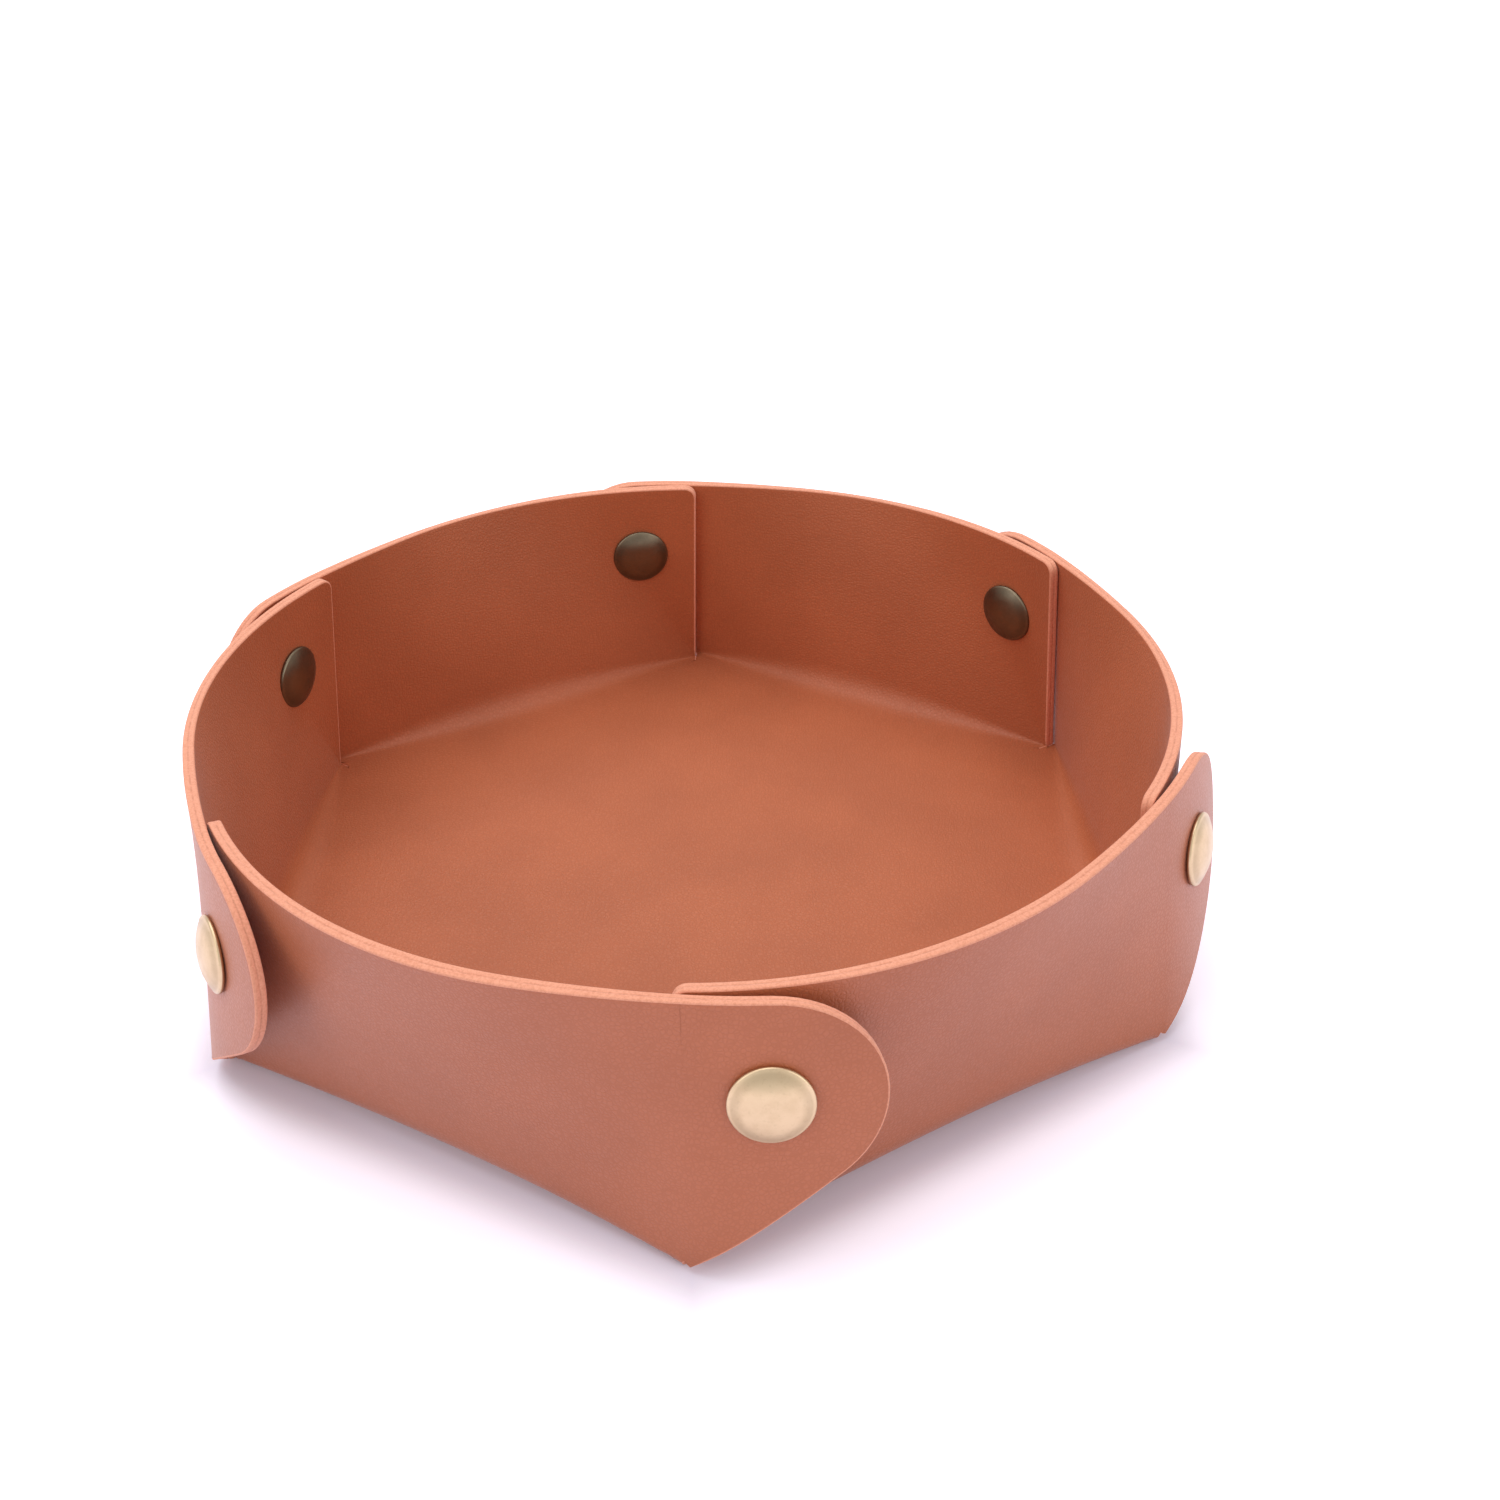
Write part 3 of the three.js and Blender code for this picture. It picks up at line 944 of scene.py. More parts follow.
@dataclass
class FloorPanel:
    """The flat middle of the sheet.

    Attributes:
        sides: The sides that it goes on into.
        name: Name of the piece.
    """

    sides: list[SidePanel]
    name: str = "floor_leather"

    def build(self, materials: list[bpy.types.Material]) -> bpy.types.Object:
        """Make the piece.

        Args:
            materials: Leather and cut edge.

        Returns:
            The piece, which rides on the base.
        """
        book = MeshBook()
        top: list[int] = []
        under: list[int] = []
        corners: list[int] = []
        for side in self.sides:
            for point in side.floor_points():
                top.append(book.point(point + UP * SIZES.floor_mid, -1.0))
                under.append(book.point(point - UP * SIZES.floor_mid, 1.0))
            corners.append(len(top) - 1)
        book.face(*top)
        book.face(*reversed(under))
        for last in corners:
            after = (last + 1) % len(top)
            book.face(under[last], under[after], top[after], top[last], kind=1)
        made = book.piece(self.name, materials)
        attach(made, "base")
        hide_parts("floor_panel")
        return made


@dataclass
class PressSnap:
    """The press snap of one corner: two domed caps, a socket with its spring, and a stud.

    Lengths are in millimetres.

    Attributes:
        number: The side whose tab carries the cap and the socket.
        cap_diameter: Across the domed caps.
        cap_edge: Height of a cap's rolled edge.
        cap_dome: Height of a cap.
        cap_sink: How far a cap's underside is pressed into the leather.
        cap_under: Distance from a cap's edge in to that underside.
        roll_end: Where the rolled edge goes over into the dome, as a share of half a turn.
        dome_power: How flat the top of the dome is.
        seat_gap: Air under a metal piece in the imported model.
        socket_diameter: Across the socket.
        socket_height: Height of the socket.
        socket_floor: Thickness of its flange.
        socket_bore: Across the hole for the post.
        socket_cavity: Across the room for the spring.
        socket_mouth: Across the mouth.
        socket_lip: Thickness of the lip round the mouth.
        spring_diameter: Across the middle of the spring's wire.
        spring_wire: Thickness of the wire.
        spring_opening: Opening of the spring in degrees.
        stud_flange: Across the stud's flange.
        stud_bore: Across the hole for the post.
        stud_sheet: Thickness of the flange.
        stud_height: Height of the stud.
        stud_neck: Across the neck.
        stud_head: Across the head.
        soft: Wide rounding of the pressed metal.
        small: Common rounding.
        fine: Narrow rounding.
        tiny: Narrowest rounding.
        roll_steps: Steps round a rolled edge.
        dome_steps: Steps up a dome.
        segments: Segments round a cap.
        small_segments: Segments round a socket or a stud.
        wire_steps: Steps along the spring.
        wire_sides: Segments round its wire.
    """

    number: int
    cap_diameter: float = 12.5
    cap_edge: float = 0.9
    cap_dome: float = 2.2
    cap_sink: float = 0.3
    cap_under: float = 1.2
    roll_end: float = 0.42
    dome_power: float = 2.2
    seat_gap: float = 0.15
    socket_diameter: float = 9.6
    socket_height: float = 1.1
    socket_floor: float = 0.25
    socket_bore: float = 3.6
    socket_cavity: float = 6.6
    socket_mouth: float = 5.0
    socket_lip: float = 0.18
    spring_diameter: float = 5.7
    spring_wire: float = 0.44
    spring_opening: float = 50.0
    stud_flange: float = 8.8
    stud_bore: float = 2.4
    stud_sheet: float = 0.25
    stud_height: float = 0.8
    stud_neck: float = 3.2
    stud_head: float = 3.9
    soft: float = 0.2
    small: float = 0.1
    fine: float = 0.08
    tiny: float = 0.05
    roll_steps: int = 10
    dome_steps: int = 16
    segments: int = 96
    small_segments: int = 48
    wire_steps: int = 48
    wire_sides: int = 12

    @staticmethod
    def turned(profile: list[tuple[float, float]], segments: int, closed: bool) -> MeshBook:
        """Turn a profile about the upright axis.

        Args:
            profile: Pairs of radius and height, from the bottom up round the outside.
            segments: How many steps round.
            closed: Whether the profile comes back to its start.

        Returns:
            The mesh of the turned piece.
        """
        book = MeshBook()
        rings = []
        widest = max(radius for radius, _ in profile)
        for radius, height in profile:
            if radius < ON_AXIS:
                rings.append([book.point(UP * height)] * segments)
                continue
            angles = [2 * math.pi * step / segments for step in range(segments)]
            rings.append([book.point(polar(angle, radius, height), radius / widest) for angle in angles])
        pairs = list(zip(rings, rings[1:]))
        if closed:
            pairs.append((rings[-1], rings[0]))
        for lower, upper in pairs:
            for step in range(segments):
                after = (step + 1) % segments
                corners = [lower[step], lower[after], upper[after], upper[step]]
                book.face(*dict.fromkeys(corners))
        return book

    def cap_profile(self) -> list[tuple[float, float]]:
        """Section of a domed cap, from under its rolled edge to the top of its dome.

        Returns:
            Pairs of radius and height above the leather.
        """
        radius = self.cap_diameter / 2
        roll = self.cap_edge / 2
        sunk = -self.seat_gap
        under = sunk - self.cap_sink
        profile = [(0.0, under), (radius - self.cap_under, under)]
        for step in range(self.roll_steps + 1):
            angle = lerp(-math.pi / 2, math.pi * self.roll_end, step / self.roll_steps)
            profile.append((radius - roll + roll * math.cos(angle), sunk + roll + roll * math.sin(angle)))
        shoulder, low = profile[-1]
        for step in range(1, self.dome_steps + 1):
            share = 1 - step / self.dome_steps
            profile.append((shoulder * share, lerp(low, self.cap_dome, 1 - share**self.dome_power)))
        return profile

    def socket_profile(self) -> list[tuple[float, float]]:
        """Section of the socket, which hangs down from the leather.

        Returns:
            Pairs of radius and height under the leather.
        """
        outer = self.socket_diameter / 2
        bore = self.socket_bore / 2
        cavity = self.socket_cavity / 2
        mouth = self.socket_mouth / 2
        shoulder = (outer + cavity) / 2
        floor = -self.socket_floor
        low = -self.socket_height
        lip = low + self.socket_lip
        return [
            (bore, floor),
            (cavity - self.small - self.tiny, floor),
            (cavity, floor - self.small),
            (cavity, lip + self.small),
            (cavity - self.small, lip),
            (mouth + self.small, lip),
            (mouth, low + self.small),
            (mouth + self.small, low),
            (shoulder - self.soft, low),
            (shoulder, low + self.soft),
            (shoulder + self.tiny, floor - self.fine),
            (shoulder + self.soft, floor),
            (outer - self.small, floor),
            (outer, floor + self.small),
            (outer, 0.0),
            (bore, 0.0),
        ]

    def stud_profile(self) -> list[tuple[float, float]]:
        """Section of the stud, which stands out from the leather.

        Returns:
            Pairs of radius and height above the leather.
        """
        flange = self.stud_flange / 2
        bore = self.stud_bore / 2
        neck = self.stud_neck / 2
        head = self.stud_head / 2
        sheet = self.stud_sheet
        high = self.stud_height
        return [
            (bore, 0.0),
            (flange, 0.0),
            (flange, sheet - self.fine),
            (flange - self.fine, sheet),
            (neck + self.small, sheet),
            (neck, sheet + self.tiny),
            (head, (sheet + high) / 2),
            (head - self.tiny, high - self.small),
            (neck, high),
            (bore + self.small, high),
            (bore, high - self.small),
        ]

    def spring_book(self) -> MeshBook:
        """The open ring of spring wire inside the socket.

        Returns:
            Its mesh, closed at both ends.
        """
        book = MeshBook()
        opening = math.radians(self.spring_opening)
        height = -(self.socket_floor + self.socket_height - self.socket_lip) / 2
        thick = self.spring_wire / 2
        rings = []
        for step in range(self.wire_steps + 1):
            angle = lerp(opening / 2, 2 * math.pi - opening / 2, step / self.wire_steps)
            ring = []
            for side in range(self.wire_sides):
                turn = 2 * math.pi * side / self.wire_sides
                radius = self.spring_diameter / 2 + thick * math.cos(turn)
                ring.append(book.point(polar(angle, radius, height + thick * math.sin(turn))))
            rings.append(ring)
        for first, second in zip(rings, rings[1:]):
            for side in range(self.wire_sides):
                after = (side + 1) % self.wire_sides
                book.face(first[side], second[side], second[after], first[after])
        book.face(*rings[0])
        book.face(*reversed(rings[-1]))
        return book

    def place(
        self, made: bpy.types.Object, seat: Matrix, body: str, node: str, slot: Slot
    ) -> bpy.types.Object:
        """Put a turned piece on its corner and tie it to its body.

        Args:
            made: The piece, at the origin.
            seat: Its place in the frame of the side.
            body: The body that carries it.
            node: The node that it stands for.
            slot: Its material slot; not used.

        Returns:
            The piece.
        """
        metres = seat.copy()
        metres.translation = seat.translation * MM
        turn = Matrix(turned_to_side(self.number).tolist()).to_4x4()
        made.data.transform(turn @ metres)
        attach(made, body)
        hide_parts(node)
        return made

    def build(self, metals: "SnapMetals") -> list[bpy.types.Object]:
        """Make the five pieces of the snap halves that this side carries.

        Args:
            metals: Finishes of the pieces.

        Returns:
            The pieces.
        """
        number = self.number
        flap, side = f"flap_{number}", f"side_{number}"
        on_tab, on_end = SnapSeat.on_tab(), SnapSeat.on_end()
        face = SIZES.leather / 2
        over_tab = on_tab.matrix(face + self.seat_gap)
        under_tab = on_tab.matrix(-face)
        on_wall = on_end.matrix(face)
        in_wall = on_end.matrix(-face - self.seat_gap)
        flipped = in_wall @ Matrix.Rotation(math.pi, 4, "X")
        cap = self.turned(self.cap_profile(), self.segments, False)
        socket = self.turned(self.socket_profile(), self.small_segments, True)
        stud = self.turned(self.stud_profile(), self.small_segments, True)
        rows = [
            (cap, "cap_dome", metals.outer_cap, over_tab, flap, "cap", Slot.CAP),
            (cap, "back_cap_dome", metals.inner_cap, flipped, side, "back_cap", Slot.CAP),
            (socket, "socket_cup", metals.dark, under_tab, flap, "socket", Slot.SNAP),
            (self.spring_book(), "spring_wire", metals.wire, under_tab, flap, "spring_ring", Slot.SPRING),
            (stud, "stud_head", metals.dark, on_wall, side, "stud", Slot.SNAP),
        ]
        made = []
        for book, name, material, seat, body, node, slot in rows:
            piece = book.piece(f"{name}_{number}", [material])
            made.append(self.place(piece, seat, body, f"{node}_{number}", slot))
        return made


class Shade:
    """A socket of a node tree. Its operators add Math nodes."""

    def __init__(self, sheet: "NodeSheet", socket: bpy.types.NodeSocket) -> None:
        """Wrap a socket of a sheet."""
        self.sheet = sheet
        self.socket = socket

    def combine(self, operation: str, first: "Feed", second: "Feed") -> "Shade":
        """Add a Math node.

        Args:
            operation: What it does.
            first: Its first value.
            second: Its second value.

        Returns:
            The result.
        """
        return self.sheet.make("ShaderNodeMath", {"operation": operation}, {0: first, 1: second}).out(0)

    def __add__(self, other: "Feed") -> "Shade":
        """Sum."""
        return self.combine("ADD", self, other)

    __radd__ = __add__

    def __sub__(self, other: "Feed") -> "Shade":
        """Difference."""
        return self.combine("SUBTRACT", self, other)

    def __rsub__(self, other: "Feed") -> "Shade":
        """Difference from a number."""
        return self.combine("SUBTRACT", other, self)

    def __mul__(self, other: "Feed") -> "Shade":
        """Product."""
        return self.combine("MULTIPLY", self, other)

    __rmul__ = __mul__

    def __abs__(self) -> "Shade":
        """Distance from zero."""
        return self.combine("ABSOLUTE", self, 0.0)


Feed = Union[Shade, float, tuple]


class NodeBox:
    """A node that was made, with its outputs as shades."""

    def __init__(self, sheet: "NodeSheet", node: bpy.types.Node) -> None:
        """Wrap a node of a sheet."""
        self.sheet = sheet
        self.node = node

    def out(self, output: Union[int, str]) -> Shade:
        """One of its outputs."""
        return Shade(self.sheet, self.node.outputs[output])


class NodeSheet:
    """The node tree of one material or world."""

    def __init__(self, tree: bpy.types.NodeTree) -> None:
        """Start from an empty tree."""
        self.tree = tree
        tree.nodes.clear()

    def make(self, kind: str, settings: dict[str, Any], inputs: dict[Union[int, str], Feed]) -> NodeBox:
        """Add a node.

        Args:
            kind: The node's type.
            settings: Its settings, which are set first.
            inputs: Values or links of its sockets.

        Returns:
            The node.
        """
        node = self.tree.nodes.new(kind)
        for name, value in settings.items():
            setattr(node, name, value)
        for key, value in inputs.items():
            if isinstance(value, Shade):
                self.tree.links.new(value.socket, node.inputs[key])
                continue
            node.inputs[key].default_value = value
        return NodeBox(self, node)

    def place(self) -> Shade:
        """Place on the piece, in metres."""
        return self.make("ShaderNodeTexCoord", {}, {}).out("Object")

    def across(self) -> Shade:
        """Share through the leather, or of a turned piece's radius."""
        return self.make("ShaderNodeAttribute", {"attribute_name": "across"}, {}).out("Fac")

    def eased(self, value: Shade, low: float, high: float) -> Shade:
        """Ease a value.

        Args:
            value: What is eased.
            low: The value that becomes 0.
            high: The value that becomes 1.

        Returns:
            The eased share between 0 and 1.
        """
        settings = {"interpolation_type": "SMOOTHSTEP", "clamp": True}
        values = {"Value": value, "From Min": low, "From Max": high, "To Min": 0.0, "To Max": 1.0}
        return self.make("ShaderNodeMapRange", settings, values).out(0)

    def mixed(self, share: Feed, first: Feed, second: Feed) -> Shade:
        """Colour between two colours.

        Args:
            share: How much of the second one.
            first: First colour.
            second: Second colour.

        Returns:
            The mixed colour.
        """
        return self.make("ShaderNodeMix", {"data_type": "RGBA"}, {0: share, 6: first, 7: second}).out(2)

    def bump(self, height: Shade, strength: float, depth: float) -> Shade:
        """Normal of a relief, its depth in millimetres."""
        values = {"Height": height, "Strength": strength, "Distance": depth * MM}
        return self.make("ShaderNodeBump", {}, values).out("Normal")

    def finish(self, inputs: dict[Union[int, str], Feed]) -> None:
        """End a material in a Principled shader with these sockets."""
        shader = self.make("ShaderNodeBsdfPrincipled", {}, inputs).out("BSDF")
        self.make("ShaderNodeOutputMaterial", {}, {"Surface": shader})


def new_sheet(name: str) -> tuple[bpy.types.Material, NodeSheet]:
    """Start a material.

    Args:
        name: Its name.

    Returns:
        The material and its empty node sheet.
    """
    material = bpy.data.materials.new(name)
    material.use_nodes = True
    return material, NodeSheet(material.node_tree)


@dataclass(frozen=True)
class Noise:
    """Cloudy noise.

    Attributes:
        size: Size of its patches in millimetres.
        detail: Finer layers in it.
        roughness: How strong the finer layers are.
    """

    size: float
    detail: float
    roughness: float = 0.5

    def node(self, sheet: NodeSheet, place: Shade) -> NodeBox:
        """Add its node.

        Args:
            sheet: Where it goes.
            place: Where to look.

        Returns:
            The noise node.
        """
        layers = {"Detail": self.detail, "Roughness": self.roughness}
        values = {"Vector": place, "Scale": 1 / (self.size * MM), **layers}
        return sheet.make("ShaderNodeTexNoise", {}, values)

    def on(self, sheet: NodeSheet, place: Shade) -> Shade:
        """Its value at a place."""
        return self.node(sheet, place).out(0)


@dataclass(frozen=True)
class Mottle(Noise):
    """Cloudy noise, eased between two of its values.

    Attributes:
        low: The value that becomes 0.
        high: The value that becomes 1.
    """

    low: float = 0.0
    high: float = 1.0

    def on(self, sheet: NodeSheet, place: Shade) -> Shade:
        """Its eased value at a place."""
        return sheet.eased(super().on(sheet, place), self.low, self.high)


@dataclass(frozen=True)
class LeatherFinish:
    """Cognac leather with a fine pebble grain and a soft wax sheen, its sizes in millimetres.

    Attributes:
        light: Colour of the paler clouds.
        deep: Colour of the deeper clouds.
        crease: Colour between the pebbles.
        crease_share: How much of that colour shows.
        clouds: Where it is paler.
        pebble: Size of a pebble.
        pebble_edge: Width of a pebble's rounded edge, as a share of its size.
        wander: How far the pebbles are moved out of their order.
        wander_noise: The noise that moves them.
        disorder: How uneven the pebbles are.
        grain: The finest grain.
        patches: Duller patches.
        roughness: Roughness on top of a pebble.
        dulling: Roughness that creases and patches add.
        pebble_height: Height of the pebbles in the relief.
        grain_height: Height of the finest grain in the relief.
        bump: Strength of the relief.
        bump_depth: Depth of the relief.
        outer_wax: Wax coat on the outside.
        wax_from: Where the wax starts, as a share through the leather from -1 inside to 1 outside.
        wax_to: Where it is whole.
    """

    light: tuple = (0.53, 0.146, 0.056, 1.0)
    deep: tuple = (0.47, 0.126, 0.047, 1.0)
    crease: tuple = (0.34, 0.085, 0.034, 1.0)
    crease_share: float = 0.22
    clouds: Noise = Mottle(26.0, 3.0, low=0.3, high=0.7)
    pebble: float = 0.72
    pebble_edge: float = 0.28
    wander: float = 0.45
    wander_noise: Noise = Noise(1.6, 2.0)
    disorder: float = 0.9
    grain: Noise = Noise(0.22, 2.0)
    patches: Noise = Noise(5.0, 4.0, 0.6)
    roughness: float = 0.47
    dulling: float = 0.1
    pebble_height: float = 0.8
    grain_height: float = 0.35
    bump: float = 0.7
    bump_depth: float = 0.06
    outer_wax: float = 0.3
    wax_from: float = -0.5
    wax_to: float = 0.5

    def pebbles(self, sheet: NodeSheet, place: Shade) -> Shade:
        """Pebble grain.

        Args:
            sheet: Where its nodes go.
            place: Where to look.

        Returns:
            0 in the creases and 1 on the pebbles.
        """
        wander = self.wander_noise.node(sheet, place).out("Color")
        scaled = {0: wander, "Scale": self.wander * MM}
        shift = sheet.make("ShaderNodeVectorMath", {"operation": "SCALE"}, scaled).out(0)
        moved = sheet.make("ShaderNodeVectorMath", {"operation": "ADD"}, {0: place, 1: shift}).out(0)
        cells = {"Vector": moved, "Scale": 1 / (self.pebble * MM), "Randomness": self.disorder}
        edges = sheet.make("ShaderNodeTexVoronoi", {"feature": "DISTANCE_TO_EDGE"}, cells).out("Distance")
        return sheet.eased(edges, 0.0, self.pebble_edge)

    def material(self) -> bpy.types.Material:
        """Make the material.

        Returns:
            The new material.
        """
        material, sheet = new_sheet("cognac_leather")
        place = sheet.place()
        pebbles = self.pebbles(sheet, place)
        grain = self.grain.on(sheet, place)
        clouds = self.clouds.on(sheet, place)
        patches = self.patches.on(sheet, place)
        ground = sheet.mixed(clouds, self.deep, self.light)
        colour = sheet.mixed((1 - pebbles) * self.crease_share, ground, self.crease)
        rough = self.roughness + self.dulling * (1 - pebbles) + self.dulling * (patches - NOISE_MIDDLE)
        height = pebbles * self.pebble_height + grain * self.grain_height
        normal = sheet.bump(height, self.bump, self.bump_depth)
        wax = sheet.eased(sheet.across(), self.wax_from, self.wax_to) * self.outer_wax
        values = {"Base Color": colour, "Roughness": rough, "Normal": normal, "Coat Weight": wax}
        constants = {"IOR": 1.5, "Sheen Weight": 0.2, "Sheen Roughness": 0.35, "Coat Roughness": 0.45}
        sheet.finish({**values, **constants})
        return material


@dataclass(frozen=True)
class CutEdgeFinish:
    """Raw edge of the two plies, paler than the face, with a glue line between them.

    Attributes:
        fibre: Colour of the pale fibres.
        dark_fibre: Colour of the darker fibres and flecks.
        glue: Colour of the glue line.
        line_core: Where the glue line is darkest, as a share of half the leather.
        line_edge: Where it ends, in the same share.
        wobble: How far the line wanders, in the same share.
        wander: How it wanders.
        breaks: Where it is fainter.
        fibres: The fibres.
        fibre_low: Value of the fibres that is pale.
        fibre_high: Value of the fibres that is dark.
        flecks: The flecks.
        fleck_share: How dark the flecks are.
        glue_least: How dark the glue line is where it is faintest.
        glue_more: How much darker it gets elsewhere.
        roughness: Least roughness.
        fuzz: Roughness that the fibres add.
        groove: Depth of the glue line in the relief.
        bump: Strength of the relief.
        bump_depth: Depth of the relief in millimetres.
    """

    fibre: tuple = (0.90, 0.39, 0.25, 1.0)
    dark_fibre: tuple = (0.77, 0.30, 0.18, 1.0)
    glue: tuple = (0.42, 0.13, 0.07, 1.0)
    line_core: float = 0.045
    line_edge: float = 0.198
    wobble: float = 0.16
    wander: Noise = Noise(2.5, 2.0)
    breaks: Noise = Mottle(1.5, 2.0, low=0.35, high=0.6)
    fibres: Noise = Noise(0.35, 4.0, 0.65)
    fibre_low: float = 0.38
    fibre_high: float = 0.68
    flecks: Noise = Mottle(0.8, 2.0, low=0.5, high=0.72)
    fleck_share: float = 0.3
    glue_least: float = 0.04
    glue_more: float = 0.26
    roughness: float = 0.68
    fuzz: float = 0.15
    groove: float = 0.6
    bump: float = 0.6
    bump_depth: float = 0.08

    def material(self) -> bpy.types.Material:
        """Make the material.

        Returns:
            The new material.
        """
        material, sheet = new_sheet("raw_leather_edge")
        place = sheet.place()
        across = sheet.across()
        fibres = self.fibres.on(sheet, place)
        flecks = self.flecks.on(sheet, place)
        wobble = (self.wander.on(sheet, place) - NOISE_MIDDLE) * self.wobble
        off_line = abs(across + wobble)
        on_line = 1 - sheet.eased(off_line, self.line_core, self.line_edge)
        broken = self.breaks.on(sheet, place)
        dark = sheet.eased(fibres, self.fibre_low, self.fibre_high)
        ground = sheet.mixed(dark, self.fibre, self.dark_fibre)
        flecked = sheet.mixed(flecks * self.fleck_share, ground, self.dark_fibre)
        colour = sheet.mixed(on_line * (self.glue_least + broken * self.glue_more), flecked, self.glue)
        height = fibres - on_line * self.groove
        normal = sheet.bump(height, self.bump, self.bump_depth)
        rough = self.roughness + fibres * self.fuzz
        values = {"Base Color": colour, "Roughness": rough, "Normal": normal}
        sheet.finish({**values, "IOR": 1.45, "Sheen Weight": 0.15})
        return material


@dataclass(frozen=True)
class AntiqueBrassFinish:
    """Brass that was darkened and then rubbed bright on its raised parts, with a dark reflection painted
    round its shoulder.

    Attributes:
        name: Name of the material.
        bright: Colour where it is rubbed bright.
        warm: Colour of its duller clouds.
        patina_and_reflection: Colour of the dark patina in specks, and of the painted dark reflection
            round the shoulder.
        clouds: Where it is duller.
        cloud_share: How strong the clouds are.
        specks: The specks.
        speck_share: How dark the specks are.
        shoulder: Shares of the radius between which the painted dark reflection ring begins.
        shoulder_end: Shares of the radius between which it ends.
        painted_reflection_share: How dark the painted reflection ring round the shoulder is.
        brushing: The brushing.
        stretch: How the brushing is stretched along each axis.
        bump: Strength of its relief.
        bump_depth: Depth of its relief in millimetres.
        roughness: Least roughness.
        cloud_dulling: Roughness that the clouds add.
        brush_dulling: Roughness that the brushing adds.
    """

    name: str = "antique_brass"
    bright: tuple = (0.59, 0.45, 0.29, 1.0)
    warm: tuple = (0.52, 0.385, 0.24, 1.0)
    patina_and_reflection: tuple = (0.26, 0.19, 0.115, 1.0)
    clouds: Noise = Mottle(3.5, 4.0, 0.6, low=0.35, high=0.65)
    cloud_share: float = 0.6
    specks: Noise = Mottle(0.5, 3.0, low=0.56, high=0.7)
    speck_share: float = 0.1
    shoulder: tuple = (0.62, 0.84)
    shoulder_end: tuple = (0.88, 0.95)
    painted_reflection_share: float = 0.3
    brushing: Noise = Noise(0.9, 4.0, 0.7)
    stretch: tuple = (1.0, 1.0, 9.0)
    bump: float = 0.12
    bump_depth: float = 0.02
    roughness: float = 0.26
    cloud_dulling: float = 0.08
    brush_dulling: float = 0.1

    def material(self) -> bpy.types.Material:
        """Make the material.

        Returns:
            The new material.
        """
        material, sheet = new_sheet(self.name)
        place = sheet.place()
        clouds = self.clouds.on(sheet, place)
        specks = self.specks.on(sheet, place)
        stretched = {0: place, 1: self.stretch}
        streaked = sheet.make("ShaderNodeVectorMath", {"operation": "MULTIPLY"}, stretched).out(0)
        brushed = self.brushing.on(sheet, streaked)
        # Painted dark reflection: a ring round the dome's shoulder, darkened together with the real patina
        # specks.
        from_middle = sheet.across()
        begun = sheet.eased(from_middle, *self.shoulder)
        shoulder = begun * (1 - sheet.eased(from_middle, *self.shoulder_end))
        ground = sheet.mixed(clouds * self.cloud_share, self.bright, self.warm)
        darkened = specks * self.speck_share + shoulder * self.painted_reflection_share
        colour = sheet.mixed(darkened, ground, self.patina_and_reflection)
        rough = self.roughness + clouds * self.cloud_dulling + brushed * self.brush_dulling
        normal = sheet.bump(brushed, self.bump, self.bump_depth)
        sheet.finish({"Base Color": colour, "Roughness": rough, "Metallic": 1.0, "Normal": normal})
        return material


@dataclass(frozen=True)
class DarkSnapFinish:
    """Blackened metal of the hidden snap halves, worn in places.

    Attributes:
        black: Colour of the blackening.
        worn: Colour where it is worn.
        wear: Where it is worn.
        grit: Its fine relief.
        bump: Strength of the relief.
        bump_depth: Depth of the relief in millimetres.
        roughness: Roughness of the blackening.
        polish: How much smoother the worn places are.
    """

    black: tuple = (0.045, 0.04, 0.036, 1.0)
    worn: tuple = (0.14, 0.115, 0.09, 1.0)
    wear: Noise = Mottle(1.4, 4.0, 0.6, low=0.48, high=0.7)
    grit: Noise = Noise(0.25, 2.0)
    bump: float = 0.2
    bump_depth: float = 0.02
    roughness: float = 0.42
    polish: float = 0.12

    def material(self) -> bpy.types.Material:
        """Make the material.

        Returns:
            The new material.
        """
        material, sheet = new_sheet("blackened_metal")
        place = sheet.place()
        worn = self.wear.on(sheet, place)
        colour = sheet.mixed(worn, self.black, self.worn)
        grit = self.grit.on(sheet, place)
        normal = sheet.bump(grit, self.bump, self.bump_depth)
        rough = self.roughness - worn * self.polish
        sheet.finish({"Base Color": colour, "Roughness": rough, "Metallic": 1.0, "Normal": normal})
        return material


@dataclass(frozen=True)
class SpringFinish:
    """Bright drawn wire.

    Attributes:
        bright: Colour of the bright streaks.
        dull: Colour of the dull streaks.
        streaks: The streaks.
        roughness: Roughness of the bright streaks.
        dulling: Roughness that the dull ones add.
    """

    bright: tuple = (0.62, 0.62, 0.62, 1.0)
    dull: tuple = (0.42, 0.42, 0.43, 1.0)
    streaks: Noise = Noise(0.3, 3.0)
    roughness: float = 0.25
    dulling: float = 0.15

    def material(self) -> bpy.types.Material:
        """Make the material.

        Returns:
            The new material.
        """
        material, sheet = new_sheet("spring_wire")
        drawn = self.streaks.on(sheet, sheet.place())
        colour = sheet.mixed(drawn, self.bright, self.dull)
        rough = self.roughness + drawn * self.dulling
        sheet.finish({"Base Color": colour, "Roughness": rough, "Metallic": 1.0})
        return material


